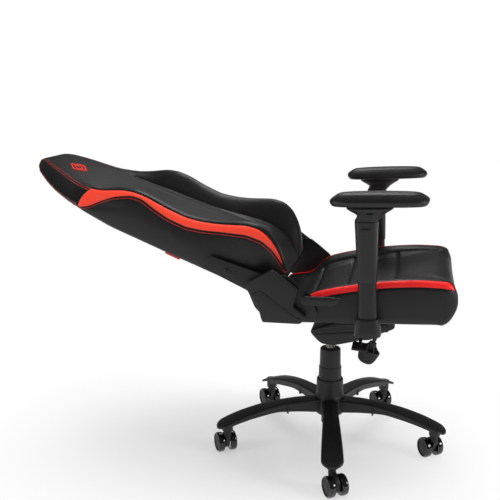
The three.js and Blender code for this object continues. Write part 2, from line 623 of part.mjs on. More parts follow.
function armrest(name, side) {
  const seat = new THREE.Group();
  const y = side * ARM_Y;
  const [a, b] = POST;
  const ring = (w, d, z, x = ARM_X) => roundedRing(w, d, z, x, y, 24, 3);
  seat.add(mesh(`arm_bracket_${name}`, armBracket(side), BLACK_STEEL));
  const [slotX, slotY] = UPRIGHT.map((q) => q + GAP);
  const slot = box([ARM_X - slotX, y - slotY, -40], [ARM_X + slotX, y + slotY, 115]);
  const post = cut(loft([ring(a, b, -GAP), ring(a, b, POST_TOP)]), slot);
  seat.add(mesh(`arm_post_${name}`, cut(post, armBracket(side, GAP)), BLACK_STEEL));
  const boot = loft([ring(32, 23, -20), ring(35, 26, -17), ring(34, 25, 0), ring(31, 22, 26),
    ring(30, 21, 29)]);
  const postHole = loft([ring(a + GAP, b + GAP, -GAP - 0.3), ring(a + GAP, b + GAP, 60)]);
  seat.add(mesh(`arm_boot_${name}`, cut(boot, postHole, armBracket(side, GAP)), BLACK_PLASTIC));
  const sleeve = loft([ring(26.3, 18.6, SLEEVE_Z[0]), ring(27.5, 19.5, 200), ring(30.5, 21, SLEEVE_Z[1])]);
  const boreRing = (z) => ring(a + GAP + 0.1, b + GAP + 0.1, z);
  const bore = loft([boreRing(SLEEVE_Z[0] - 5), boreRing(250)]);
  const button = (grow, depth, height) => {
    const points = roundedRing(11 + grow, 5 + grow, 0, ARM_X, BUTTON_Z, 20, 2.5).map(([x, z]) => [x, z]);
    return sidePrism(side, points, ARM_Y + depth, ARM_Y + height);
  };
  seat.add(mesh(`arm_sleeve_${name}`, cut(sleeve, bore, button(GAP, 10, 40)), BLACK_PLASTIC));
  seat.add(mesh(`arm_button_${name}`, button(0, 14, 22), BLACK_PLASTIC));
  const cx = ARM_X + 10;
  const carrier = loft([ring(29, 20, SLEEVE_Z[1] + GAP), ring(34, 24, 307, cx), ring(59, 34, 322, cx),
    ring(61, 36, CARRIER_TOP, cx)]);
  seat.add(mesh(`arm_carrier_${name}`, carrier, BLACK_PLASTIC));
  const slide = loft([roundedRing(58, 30, CARRIER_TOP + GAP, cx, y), roundedRing(58, 30, PAD_Z[0] - GAP, cx, y)]);
  seat.add(mesh(`arm_slide_${name}`, slide, BLACK_PLASTIC));
  const [pa, pb] = PAD_HALF;
  const padRing = (inset, z) => roundedRing(pa - inset, pb - inset, z, 0, 0, 32, 3.6);
  const [z0, z1] = PAD_Z;
  const pad = loft([padRing(12, z0), padRing(2, z0 + 7), padRing(0, z0 + 13), padRing(2, z0 + 18),
    padRing(15, z1 - 6), padRing(20, z1 - 2), padRing(28, z1)]);
  const padMesh = mesh(`arm_pad_${name}`, pad, BLACK_PLASTIC);
  padMesh.position.set(PAD_CENTRE_X, y, 0);
  padMesh.rotation.z = -side * rad(-PAD_TOE_IN);
  seat.add(padMesh);
  return seat;
}

// ---- the whole chair ----------------------------------------------------------------
const chair = new THREE.Group();
const onColumn = new THREE.Group();
onColumn.position.set(COLUMN[0], COLUMN[1], 0);
onColumn.add(mesh('star_base', starBase(), BLACK_STEEL));
onColumn.add(casters(), column(), mechanism(), recliner(), backrest());
const seat = seatGroup();
seat.add(mesh('tilt_plate', tiltPlate(), BLACK_STEEL));
seat.add(mesh('seat_pan', seatPan(), BLACK_STEEL));
seat.add(mesh('seat_cushion', seatCushion(), LEATHER));
for (const [name, side] of SIDES) {
  seat.add(armrest(name, side));
}
onColumn.add(seat);
chair.add(onColumn);

export default chair;
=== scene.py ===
# %% [markdown]
# # Gaming chair, laid back
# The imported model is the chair's skeleton: every bracket, hinge and wheel already stands in its
# place. This lesson loads it and dresses it: fine castings and mouldings in place of the coarse
# ones, stuffed cushions that are inflated as cloth, and a material for each real finish.

# %% Load the frame
import json
import math

import bmesh
import bpy
import numpy as np
from mathutils import Matrix, Vector
from mathutils.bvhtree import BVHTree


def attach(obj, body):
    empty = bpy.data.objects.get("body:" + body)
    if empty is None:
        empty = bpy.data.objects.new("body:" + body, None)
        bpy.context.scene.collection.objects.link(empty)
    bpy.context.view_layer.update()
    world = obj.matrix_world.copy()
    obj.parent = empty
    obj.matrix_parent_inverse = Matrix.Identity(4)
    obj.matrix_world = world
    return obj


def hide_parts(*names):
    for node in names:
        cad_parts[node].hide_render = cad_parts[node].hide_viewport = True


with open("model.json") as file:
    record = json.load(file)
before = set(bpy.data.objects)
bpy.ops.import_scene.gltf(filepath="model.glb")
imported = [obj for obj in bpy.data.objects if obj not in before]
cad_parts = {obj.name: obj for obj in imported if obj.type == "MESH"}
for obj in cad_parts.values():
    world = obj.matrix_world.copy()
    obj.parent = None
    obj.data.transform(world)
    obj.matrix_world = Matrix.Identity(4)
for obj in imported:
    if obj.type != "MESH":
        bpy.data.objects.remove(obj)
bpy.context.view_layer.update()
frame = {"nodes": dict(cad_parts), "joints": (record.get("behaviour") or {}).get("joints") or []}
joints = {j["name"]: j for j in frame["joints"]}

# %% [markdown]
# ## Where things are
# Everything below is worked out in millimetres on the gas lift's axis, the way a drawing of the
# chair would be, and is turned to metres once, when a mesh is made. The seat and its armrests are
# pitched nose-up by two degrees, and the backrest leans away from its own start line.

# %% Frames of reference
MM = 0.001
COLUMN = np.array([*joints["seat_swivel"]["pos_m"][:2], 0]) / MM
PIVOT = np.array(joints["back_recline"]["pos_m"]) / MM - COLUMN
SEAT_Z = 460
PITCH = math.radians(2)
BACK_START = PIVOT + [20, 0, 28]
LEAN = math.radians(157)


def on_seat(points):
    """Seat frame to column frame: a turn by the pitch about Y, then up to the seat's underside."""
    p = np.asarray(points, float)
    c, s = math.cos(PITCH), math.sin(PITCH)
    return np.stack([p[..., 0] * c - p[..., 2] * s, p[..., 1], SEAT_Z + p[..., 0] * s + p[..., 2] * c], -1)


def on_back(points):
    """Back frame (s along, y across, t to the front) to column frame."""
    p = np.asarray(points, float)
    c, s = math.cos(LEAN), math.sin(LEAN)
    return np.stack([BACK_START[0] + p[..., 0] * c + p[..., 2] * s, p[..., 1],
                     BACK_START[2] + p[..., 0] * s - p[..., 2] * c], -1)


def off_back(points):
    """Column frame back to s, y, t: the inverse of on_back."""
    p = np.asarray(points, float) - [BACK_START[0], 0, BACK_START[2]]
    c, s = math.cos(LEAN), math.sin(LEAN)
    return np.stack([p[..., 0] * c + p[..., 2] * s, p[..., 1], p[..., 0] * s - p[..., 2] * c], -1)


def off_seat(points):
    """Column frame back to the seat frame: the inverse of on_seat."""
    p = np.asarray(points, float) - [0, 0, SEAT_Z]
    c, s = math.cos(PITCH), math.sin(PITCH)
    return np.stack([p[..., 0] * c + p[..., 2] * s, p[..., 1], p[..., 2] * c - p[..., 0] * s], -1)


# %% [markdown]
# ## Surfaces from arrays
# A shape here is a stack of closed rings. numpy works out all its points at once, and the faces
# between the rings follow from the grid's size. Four ways of making rings cover the whole chair:
# a loft of sections, a turned profile, a plate with rounded edges, and a tube along a path.

# %% Rings to a shell
def shell(rings, cap="pole"):
    """Quads between closed rings of shape (k, m, 3). A pole end is one point, an ngon end one face."""
    rings = np.asarray(rings, float)
    if cap == "pole":
        ends = [np.repeat(r.mean(0)[None], len(r), 0)[None] for r in (rings[0], rings[-1])]
        rings = np.concatenate([ends[0], rings, ends[1]])
    k, m = rings.shape[:2]
    grid = np.arange(k * m).reshape(k, m)
    a, b = grid[:-1], np.roll(grid, -1, 1)[:-1]
    c, d = np.roll(grid, -1, 1)[1:], grid[1:]
    faces = np.stack([a, b, c, d], -1).reshape(-1, 4).tolist()
    if cap == "ngon":
        faces += [grid[0][::-1].tolist(), grid[-1].tolist()]
    return rings.reshape(-1, 3), faces


def curve(table, x, soft=14.0):
    """A table of (x, value) rows as a smooth curve: straight lines blurred by a bell of width soft."""
    table = np.array(table, float)
    step = soft / 4
    lo, hi = table[0, 0] - 4 * soft, table[-1, 0] + 4 * soft
    grid = np.arange(lo, hi + step, step)
    ends = [(table[1, 1] - table[0, 1]) / (table[1, 0] - table[0, 0]),
            (table[-1, 1] - table[-2, 1]) / (table[-1, 0] - table[-2, 0])]
    value = np.interp(grid, table[:, 0], table[:, 1])
    value += np.where(grid < table[0, 0], (grid - table[0, 0]) * ends[0], 0)
    value += np.where(grid > table[-1, 0], (grid - table[-1, 0]) * ends[1], 0)
    bell = np.exp(-0.5 * (np.arange(-12, 13) / 4) ** 2)
    blurred = np.convolve(np.pad(value, 12, "edge"), bell / bell.sum(), "valid")
    return np.interp(x, grid, blurred)


def through(points, counts):
    """Closed smooth curves through control points (..., c, d): a cubic per span, with end slopes that
    weigh the neighbouring chords by their lengths."""
    p = np.asarray(points, float)
    nxt = np.roll(p, -1, -2)
    h = np.linalg.norm(nxt - p, axis=-1, keepdims=True) + 1e-9
    d = (nxt - p) / h
    hp, dp = np.roll(h, 1, -2), np.roll(d, 1, -2)
    slope = (d * hp + dp * h) / (h + hp)
    spans = []
    for i, n in enumerate(counts):
        t = (np.arange(n) / n)[:, None]
        j = (i + 1) % p.shape[-2]
        a, b = p[..., i, None, :], p[..., j, None, :]
        ma, mb = slope[..., i, None, :] * h[..., i, None, :], slope[..., j, None, :] * h[..., i, None, :]
        spans.append((2 * t**3 - 3 * t**2 + 1) * a + (t**3 - 2 * t**2 + t) * ma
                     + (3 * t**2 - 2 * t**3) * b + (t**3 - t**2) * mb)
    return np.concatenate(spans, -2)


# %% Turned shapes, plates and tubes
def frame_of(axis):
    """Two unit vectors square to an axis, and the axis."""
    w = np.array(axis, float) / np.linalg.norm(axis)
    u = np.cross([0, 0, 1] if abs(w[2]) < 0.9 else [1, 0, 0], w)
    u /= np.linalg.norm(u)
    return u, np.cross(w, u), w


def turned(profile, origin=(0, 0, 0), axis=(0, 0, 1), n=64, flute=None):
    """Rows (r, h) turned about an axis: origin + h*w + r*(cos a*u + sin a*v); flute(a, h) scales r."""
    u, v, w = frame_of(axis)
    p = np.array(profile, float)
    a = np.linspace(0, 2 * math.pi, n, endpoint=False)
    r, h = p[:, :1], p[:, 1:2]
    if flute is not None:
        r = r * flute(a[None], h)
    else:
        r = r * np.ones_like(a)[None]
    rings = (np.array(origin, float) + r[..., None] * (np.cos(a)[:, None] * u + np.sin(a)[:, None] * v)
             + h[..., None] * w)
    return shell(rings, "pole")


def rounded(corners, radius=6.0, steps=6):
    """A closed outline whose corners are replaced by parabolic arcs that start radius from them."""
    p = np.array(corners, float)
    before, after = np.roll(p, 1, 0) - p, np.roll(p, -1, 0) - p
    lb, la = (np.linalg.norm(q, axis=1, keepdims=True) for q in (before, after))
    reach_b, reach_a = np.minimum(radius, lb * 0.48), np.minimum(radius, la * 0.48)
    start, end = p + before / lb * reach_b, p + after / la * reach_a
    t = np.linspace(0, 1, steps)[None, :, None]
    arcs = (1 - t) ** 2 * start[:, None] + 2 * t * (1 - t) * p[:, None] + t**2 * end[:, None]
    return arcs.reshape(-1, 2)


def inset(outline, by):
    """Each point moved inwards along the mean of its two edges' normals, lengthened at the corners."""
    p = np.asarray(outline, float)
    e = np.roll(p, -1, 0) - p
    n = np.stack([-e[:, 1], e[:, 0]], 1) / (np.linalg.norm(e, axis=1, keepdims=True) + 1e-9)
    area = 0.5 * np.sum(p[:, 0] * np.roll(p[:, 1], -1) - p[:, 1] * np.roll(p[:, 0], -1))
    n *= np.sign(area)
    both = n + np.roll(n, 1, 0)
    length = np.sum(both**2, 1, keepdims=True) / 2
    return p + both / np.maximum(length, 0.35) * by


def plate(outline, y0, y1, bevel=1.0):
    """An x, z outline carried from y0 to y1, its rims rounded by a quarter circle of size bevel."""
    turn = np.linspace(0, math.pi / 2, 5)
    rows = [(bevel * (1 - math.sin(a)), y0 + bevel * (1 - math.cos(a))) for a in turn]
    rows += [(bevel * (1 - math.cos(a)), y1 - bevel * (1 - math.sin(a))) for a in turn]
    rings = []
    for by, y in rows:
        q = inset(outline, by)
        rings.append(np.stack([q[:, 0], np.full(len(q), y), q[:, 1]], 1))
    return shell(np.array(rings), "ngon")


def tube(path, radius, n=16, up=(0, 0, 1)):
    """A round section carried along a path: p + r*(cos a*N + sin a*B)."""
    p = np.asarray(path, float)
    t = np.gradient(p, axis=0)
    t /= np.linalg.norm(t, axis=1, keepdims=True)
    ref = np.asarray(up, float)
    nrm = ref - (t @ ref)[:, None] * t
    nrm /= np.linalg.norm(nrm, axis=1, keepdims=True)
    bi = np.cross(t, nrm)
    a = np.linspace(0, 2 * math.pi, n, endpoint=False)
    r = np.broadcast_to(np.asarray(radius, float), (len(p),))[:, None, None]
    rings = p[:, None] + r * (np.cos(a)[:, None] * nrm[:, None] + np.sin(a)[:, None] * bi[:, None])
    return shell(rings, "pole")


def smooth_path(points, n=60):
    """A smooth open path through a few points, by the same cubic as through()."""
    p = np.asarray(points, float)
    counts = [max(2, n // (len(p) - 1))] * (len(p) - 1)
    padded = np.concatenate([p, p[::-1][1:-1]])
    full = through(padded, counts + [2] * (len(padded) - len(p) + 1))
    return np.concatenate([full[:sum(counts)], p[-1:]])


# %% Shells to a piece
def piece(name, shells, material, body, replaces=(), angle=38):
    """Joins shells into one mesh in the row frame, with its seams closed and its faces outwards."""
    verts, faces, start = [], [], 0
    for v, f in shells:
        verts.append(v)
        faces += [[i + start for i in face] for face in f]
        start += len(v)
    points = (np.concatenate(verts) + COLUMN) * MM
    mesh = bpy.data.meshes.new(name)
    mesh.from_pydata(points.tolist(), [], faces)
    bm = bmesh.new()
    bm.from_mesh(mesh)
    bmesh.ops.remove_doubles(bm, verts=bm.verts, dist=1e-6)
    bmesh.ops.dissolve_degenerate(bm, edges=bm.edges, dist=1e-7)
    bmesh.ops.recalc_face_normals(bm, faces=bm.faces)
    bm.to_mesh(mesh)
    bm.free()
    mesh.shade_smooth()
    mesh.set_sharp_from_angle(angle=math.radians(angle))
    obj = bpy.data.objects.new(name, mesh)
    bpy.context.scene.collection.objects.link(obj)
    mesh.materials.append(material)
    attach(obj, body)
    if replaces:
        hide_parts(*replaces)
    return obj


def moved(shells, turn=0.0, by=(0, 0, 0)):
    """Shells turned about Z and then moved."""
    c, s = math.cos(turn), math.sin(turn)
    spin = np.array([[c, s, 0], [-s, c, 0], [0, 0, 1]])
    return [(v @ spin + np.array(by, float), f) for v, f in shells]


def seated(shells):
    """Shells drawn in the seat frame, carried to the column frame."""
    return [(on_seat(v), f) for v, f in shells]


# %% [markdown]
# ## Finishes
# Each material starts from what the real one is. Colours are sRGB hex values as a paint card would
# give them, turned to linear light by one function. Patterns are sized in millimetres.

# %% Colour and node helpers
def colour(text):
    """An sRGB hex value in linear light: ((c + 0.055) / 1.055) ** 2.4 above 0.04045, c / 12.92 below."""
    c = np.array([int(text[i:i + 2], 16) / 255 for i in (1, 3, 5)])
    lin = np.where(c > 0.04045, ((c + 0.055) / 1.055) ** 2.4, c / 12.92)
    return (*lin.tolist(), 1.0)


def add(tree, kind, props=None, values=None, links=None):
    """One node with its settings, socket values and links from (node, output) pairs."""
    node = tree.nodes.new(kind)
    for key, value in (props or {}).items():
        setattr(node, key, value)
    for key, value in (values or {}).items():
        node.inputs[key].default_value = value
    for key, (source, output) in (links or {}).items():
        tree.links.new(source.outputs[output], node.inputs[key])
    return node


def blank(name):
    """A new material and its emptied node tree."""
    mat = bpy.data.materials.new(name)
    mat.use_nodes = True
    mat.node_tree.nodes.clear()
    return mat, mat.node_tree


def per_mm(size):
    """The scale of a pattern whose features are size millimetres apart, on coordinates in metres."""
    return 1 / (size * MM)


def finish(name, dark, light, roughness, metallic=0.0, grain=1.2, bump=0.15, patch=60, spread=0.06,
           coat=0.0, specular=0.4):
    """A surface with colour in soft patches, a fine grain and a roughness that varies with the patches."""
    mat, tree = blank(name)
    place = add(tree, "ShaderNodeTexCoord")
    cloud = add(tree, "ShaderNodeTexNoise", values={"Scale": per_mm(patch), "Detail": 4.0},
                links={"Vector": (place, "Object")})
    mix = add(tree, "ShaderNodeMix", {"data_type": "RGBA"}, {6: colour(dark), 7: colour(light)},
              {0: (cloud, "Fac")})
    rough = add(tree, "ShaderNodeMapRange", values={"To Min": roughness - spread,
                                                    "To Max": roughness + spread},
                links={"Value": (cloud, "Fac")})
    fine = add(tree, "ShaderNodeTexNoise", values={"Scale": per_mm(grain), "Detail": 2.0},
               links={"Vector": (place, "Object")})
    relief = add(tree, "ShaderNodeBump", values={"Strength": bump, "Distance": 0.3 * MM},
                 links={"Height": (fine, "Fac")})
    surface = add(tree, "ShaderNodeBsdfPrincipled", values={"Metallic": metallic, "Coat Weight": coat,
                                                            "Coat Roughness": 0.08,
                                                            "Specular IOR Level": specular},
                  links={"Base Color": (mix, 2), "Roughness": (rough, "Result"),
                         "Normal": (relief, "Normal")})
    add(tree, "ShaderNodeOutputMaterial", links={"Surface": (surface, "BSDF")})
    return mat


# %% [markdown]
# The base and the brackets are powder coated: the powder melts into a skin with a faint orange
# peel, about a millimetre from crest to crest. The covers are moulded polypropylene with a spark
# eroded texture. The caster rims are polished ABS, and the piston is ground, hard chromed steel.

# %% Hard finishes
powder_coat = finish("powder coated aluminium", "#121213", "#1b1b1d", 0.42, grain=1.6, bump=0.12)
powder_steel = finish("powder coated steel", "#101011", "#18181a", 0.46, grain=1.3, bump=0.2)
moulded_black = finish("moulded polypropylene", "#111112", "#19191a", 0.5, grain=1.1, bump=0.22)
satin_sleeve = finish("satin moulded nylon", "#131314", "#1a1a1c", 0.36, grain=1.4, bump=0.08)
gloss_rim = finish("polished ABS", "#060607", "#0b0b0c", 0.12, grain=8, bump=0.02, coat=0.6, spread=0.03)
chrome_steel = finish("hard chromed steel", "#5e5b57", "#77736e", 0.26, metallic=1.0, grain=3, bump=0.03)
pad_skin = finish("self skinned polyurethane", "#101010", "#19191a", 0.44, grain=1.8, bump=0.25)
red_thread = finish("bonded polyester thread", "#c01b12", "#e23024", 0.55, grain=0.8, bump=0.3)
plywood = finish("birch plywood", "#6f5334", "#8f6e46", 0.6, grain=2.5, bump=0.2)

# %% [markdown]
# ## Camera, light and floor
# A long lens stands to the chair's right and a little above its seat. The room is white. A big
# soft light overhead fills in without showing as a reflection, because black leather turns grey
# under a mirrored lamp. Three smaller lights are mirrored, and draw the edges.

# %% Camera
def aim(position, yaw, pitch, roll):
    """A camera's matrix from its place and its three turns: right, up and back are its columns."""
    fwd = np.array([-math.sin(yaw) * math.cos(pitch), math.cos(yaw) * math.cos(pitch), -math.sin(pitch)])
    right = np.array([math.cos(yaw), math.sin(yaw), 0])
    up = np.cross(right, fwd)
    r = math.cos(roll) * right + math.sin(roll) * up
    u = -math.sin(roll) * right + math.cos(roll) * up
    m = Matrix.Identity(4)
    for i in range(3):
        m[i][0], m[i][1], m[i][2], m[i][3] = r[i], u[i], -fwd[i], position[i]
    return m


scene = bpy.context.scene
lens = bpy.data.cameras.new("camera")
lens.lens, lens.sensor_width, lens.clip_end = 58.92, 36.0, 50
camera = bpy.data.objects.new("camera", lens)
scene.collection.objects.link(camera)
camera.matrix_world = aim((COLUMN + [229.0, -2388.8, 1128.1]) * MM,
                          math.radians(11.33), math.radians(12.15), math.radians(-0.32))
scene.camera = camera
scene.view_settings.view_transform = "Standard"

# %% Light and floor
world = bpy.data.worlds.new("white room")
scene.world = world
world.use_nodes = True
tree = world.node_tree
tree.nodes.clear()
ray = add(tree, "ShaderNodeLightPath")
# the room is dimmer in reflections than it is as a light
mirror = add(tree, "ShaderNodeMapRange", values={"To Min": 0.36, "To Max": 0.14},
             links={"Value": (ray, "Is Glossy Ray")})
room = add(tree, "ShaderNodeBackground", values={"Color": colour("#ffffff")},
           links={"Strength": (mirror, "Result")})
paper = add(tree, "ShaderNodeBackground", values={"Color": colour("#ffffff"), "Strength": 1.0})
seen = add(tree, "ShaderNodeMixShader", links={0: (ray, "Is Camera Ray"), 1: (room, "Background"),
                                               2: (paper, "Background")})
add(tree, "ShaderNodeOutputWorld", links={"Surface": (seen, "Shader")})


def softbox(name, place, target, size, power, mirrored_in=True):
    """A square area light that looks at a point; a fill light isn't mirrored in glossy surfaces."""
    light = bpy.data.lights.new(name, "AREA")
    light.size, light.energy = size, power
    obj = bpy.data.objects.new(name, light)
    scene.collection.objects.link(obj)
    obj.visible_glossy = mirrored_in
    obj.location = place
    obj.rotation_euler = (Vector(target) - Vector(place)).to_track_quat("-Z", "Y").to_euler()
    return obj


softbox("overhead", (0.2, 0.2, 3.2), (0, 0, 0.4), 2.4, 70, False)
softbox("top_glow", (0.1, 1.6, 2.6), (0.1, 0, 0.6), 1.0, 16)
softbox("right_strip", (2.6, -0.9, 1.2), (0.3, 0, 0.6), 0.7, 24)
softbox("left_strip", (-2.5, -1.7, 1.1), (-0.3, 0, 0.8), 0.8, 20)


def paper_sweep():
    """White paper, lit near the chair and glowing as the room does further out; clear from below."""
    mat, tree = blank("white paper sweep")
    place = add(tree, "ShaderNodeTexCoord")
    reach = add(tree, "ShaderNodeVectorMath", {"operation": "LENGTH"}, links={0: (place, "Object")})
    fade = add(tree, "ShaderNodeMapRange", {"interpolation_type": "SMOOTHSTEP"},
               {"From Min": 0.2, "From Max": 1.0, "To Min": 0.45}, {"Value": (reach, "Value")})
    lit = add(tree, "ShaderNodeBsdfDiffuse", values={"Color": colour("#f6f6f6")})
    glow = add(tree, "ShaderNodeEmission", values={"Color": colour("#ffffff"), "Strength": 1.0})
    both = add(tree, "ShaderNodeMixShader", links={0: (fade, "Result"), 1: (lit, "BSDF"),
                                                   2: (glow, "Emission")})
    side = add(tree, "ShaderNodeNewGeometry")
    clear = add(tree, "ShaderNodeBsdfTransparent")
    one_sided = add(tree, "ShaderNodeMixShader", links={0: (side, "Backfacing"), 1: (both, "Shader"),
                                                        2: (clear, "BSDF")})
    add(tree, "ShaderNodeOutputMaterial", links={"Surface": (one_sided, "Shader")})
    return mat


floor_mesh = bpy.data.meshes.new("floor")
floor_mesh.from_pydata([(-9, -9, 0), (9, -9, 0), (9, 9, 0), (-9, 9, 0)], [], [(0, 1, 2, 3)])
floor_mesh.materials.append(paper_sweep())
floor = bpy.data.objects.new("floor", floor_mesh)
scene.collection.objects.link(floor)

# %% [markdown]
# ## Star base
# The real base is one aluminium casting: five arched arms, each a crowned strap over a narrower
# rib, with a socket under its tip. A section that changes along the arm gives both. The arms and
# the hub run into each other, as the casting does.

# %% Star base
LEG_TURNS = [math.radians(-82.8 + 72 * i) for i in range(5)]
STEM_R, LEG_TIP = 325.0, 358.0
LEG_TOP = [(20, 149), (100, 152), (160, 149), (220, 140), (280, 125), (330, 106), (358, 91)]
LEG_LOW = [(20, 101), (100, 113), (175, 119), (255, 104), (300, 92), (318, 86)]
LEG_HALF = [(20, 24), (60, 24), (140, 22.5), (260, 28), (320, 30.5), (334, 30.5)]


def leg_shells():
    """Strap: closed sections w(r) wide under top(r), its tip a half ellipse. Rib: a taper below it."""
    r = np.concatenate([np.linspace(20, 334, 44), 334 + 24 * np.sin(np.linspace(0.1, math.pi / 2, 12))])
    tip = np.sqrt(np.clip(1 - (np.clip(r - 334, 0, 23.9) / 24) ** 2, 0, 1))
    w, top = curve(LEG_HALF, np.minimum(r, 334)) * tip + 0.2, curve(LEG_TOP, r)
    thick = 10 - 4 * np.clip((r - 300) / 58, 0, 1)
    across = np.array([-1, -1.02, -0.93, -0.6, 0, 0.6, 0.93, 1.02, 1, 0.5, -0.5])
    drop = np.array([1, 0.62, 0.2, 0.04, -0.1, 0.04, 0.2, 0.62, 1, 1.02, 1.02])
    yz = np.stack([w[:, None] * across, top[:, None] - thick[:, None] * drop], -1)
    yz = through(yz, [3] * len(across))
    strap = np.concatenate([np.broadcast_to(r[:, None, None], yz.shape[:2] + (1,)), yz], -1)
    r2 = np.linspace(20, 318, 40)
    half, high, low = np.minimum(15.5, curve(LEG_HALF, r2) - 4), curve(LEG_TOP, r2) - 6, curve(LEG_LOW, r2)
    across = np.array([-1, 1, 0.96, 0.86, 0.6, -0.6, -0.86, -0.96])
    fall = np.array([0, 0, 0.6, 0.95, 1, 1, 0.95, 0.6])
    yz = np.stack([half[:, None] * across, high[:, None] + (low - high)[:, None] * fall], -1)
    yz = through(yz, [4] * len(across))
    rib = np.concatenate([np.broadcast_to(r2[:, None, None], yz.shape[:2] + (1,)), yz], -1)
    socket = turned([(0, 72), (14.5, 72), (15.8, 73.2), (16.5, 75), (16.5, 88), (17.5, 96), (19, 103),
                     (0, 103)], (STEM_R, 0, 0), n=40)
    web = plate(rounded([(137, 112), (141, 112), (141, 142), (137, 142)], 1), -17, 17, 0.8)
    return [shell(strap), shell(rib), socket, web]


hub = turned([(25.6, 98), (39, 98), (43, 101), (44.5, 106), (44.5, 143), (46.5, 148), (46, 150), (25.6, 150),
              (25.6, 98)], n=80)
legs = [s for turn in LEG_TURNS for s in moved(leg_shells(), turn)]
star = piece("star_casting", [hub] + legs, powder_coat, "base", ["star_base"], 50)
print("star base", len(star.data.polygons), "faces")

# %% [markdown]
# ## Casters
# Each caster is a body between two wheels on one axle. The wheels are two-shot mouldings: a
# polished rim round a matt, slightly dished disc. Both are turned about the axle.

# %% Casters
AXLE = np.array(joints["wheel_roll_1"]["axis"])
WHEEL_R, WHEEL_W, CASTER_W = 30.0, 20.0, 57.0
RIM = [(4, 1), (25, 1), (27.5, 1.4), (29.2, 3), (30, 6), (30, 14), (29.6, 17.5), (28.2, 19.4), (26.4, 20),
       (24.8, 19.2), (24.2, 17.4), (24, 16), (4, 16), (4, 1)]
DISC = [(0, 15.5), (23.8, 15.5), (23.8, 17.2), (22.6, 17.8), (14, 17.2), (10, 18.4), (7, 18.8), (0, 18.9)]
for i in range(1, 6):
    centre = np.array(joints[f"wheel_roll_{i}"]["pos_m"]) / MM - COLUMN
    stem = np.array(joints[f"caster_swivel_{i}"]["pos_m"]) / MM - COLUMN
    inner = CASTER_W / 2 - WHEEL_W
    sides = [(centre + AXLE * inner, AXLE), (centre - AXLE * inner, -AXLE)]
    axle = turned([(0, -inner - 2), (4, -inner - 2), (4, inner + 2), (0, inner + 2)], centre, AXLE, 24)
    piece(f"caster_rims_{i}", [turned(RIM, at, ax, 72) for at, ax in sides] + [axle], gloss_rim,
          f"wheels_{i}", [f"caster_wheels_{i}"], 30)
    piece(f"caster_discs_{i}", [turned(DISC, at, ax, 56) for at, ax in sides], moulded_black, f"wheels_{i}",
          angle=30)
    out = centre - stem
    turn = math.atan2(out[1], out[0])
    outline = rounded([(-11, 66), (-11, 50), (0, 30), (8, 15), (20, 9), (33, 14), (41, 29), (38, 45),
                       (27, 57), (11, 66)], 6)
    body = plate(outline, -7.2, 7.2, 1.6)
    hood = turned([(0, 52), (9, 52), (11, 56), (11, 66), (10, 69.4), (6.5, 70.5), (0, 70.5)], n=40)
    pin = turned([(0, 60), (5.5, 60), (5.5, 94), (4, 96), (0, 96)], n=28)
    piece(f"caster_body_{i}", moved([body, hood, pin], turn, (stem[0], stem[1], 0)), moulded_black,
          f"caster_{i}", [f"caster_fork_{i}"], 40)
print("casters done")

# %% [markdown]
# ## Gas lift and its cover
# Three moulded stages telescope round the gas lift. Each stage tapers a little for moulding and
# ends in a small bead, which is the ring that catches the light at every step.

# %% Column
STAGES = {"cover_lower": ("base", [(36, 150.4), (45.2, 150.4), (46, 151.6), (46, 154.6), (45, 156),
                                   (43.4, 158.4), (42.6, 162), (40.6, 203), (40.8, 206), (40, 209.4),
                                   (38.6, 210), (36, 210), (36, 150.4)]),
          "cover_middle": ("cover_stage", [(32.8, 198), (35.6, 198), (35.2, 208), (34.3, 243), (34.6, 246),
                                           (34, 249.4), (32.9, 250), (32.8, 198)]),
          "cover_upper": ("lift", [(30, 238), (32.4, 238), (32.3, 250), (31.3, 302), (30.8, 305.6),
                                   (29, 307.6), (24, 308), (14.6, 308), (14.6, 304.5), (27, 304.2),
                                   (30, 300), (30, 238)]), }
for name, (body, profile) in STAGES.items():
    piece(name + "_moulding", [turned(profile, n=88)], moulded_black, body, [name], 28)
piston = turned([(0, 150), (13, 150), (14, 152), (14, 366), (13, 368), (0, 368)], n=56)
piece("piston_rod", [piston], chrome_steel, "lift", ["gas_piston"], 30)

# %% [markdown]
# ## Rocking mechanism
# A pressed housing sits on the piston and the seat's steel channel hangs on its front pin. The
# housing is a plate with rounded rims, carried right across, with two moulded ribs on its cheeks.

# %% Housing and pin
HOUSING = [(-58, 366), (-34, 340), (-20, 331), (20, 330), (71, 343), (92, 349), (124, 352), (150, 372),
           (188, 388), (194, 396), (188, 410), (174, 418), (130, 416), (40, 408), (16, 402), (-23, 388),
           (-54, 377)]
ROCK = np.array(joints["seat_rock"]["pos_m"]) / MM - COLUMN
shells = [plate(rounded(HOUSING, 9, 5), -46, 46, 6)]
cheek = rounded([(-46, 363), (-26, 346), (60, 352), (122, 366), (118, 378), (40, 372), (-24, 364)], 8, 5)
ridge = rounded([(-38, 374), (-20, 378), (40, 390), (120, 398), (118, 405), (40, 398), (-20, 386),
                 (-40, 378)], 4, 4)
for side in (-1, 1):
    for outline, height in ((cheek, 2.4), (ridge, 1.6)):
        lo, hi = sorted((side * 43, side * (46 + height)))
        shells.append(plate(outline, lo, hi, 1.2))
    shells.append(turned([(0, 44), (15, 44), (15, 48.5), (13.5, 50), (0, 50)], (ROCK[0], 0, ROCK[2]),
                         (0, side, 0), 40))
piece("rocker_housing", shells, powder_steel, "mechanism", ["tilt_housing"], 35)
ends = [turned([(0, 60), (7, 60), (7, 66.4), (10.5, 66.4), (10.5, 70), (9, 72.4), (5, 73), (0, 73)],
               (ROCK[0], 0, ROCK[2]), (0, side, 0), 40) for side in (-1, 1)]
bar = turned([(0, -62), (7, -62), (7, 62), (0, 62)], (ROCK[0], 0, ROCK[2]), (0, 1, 0), 32)
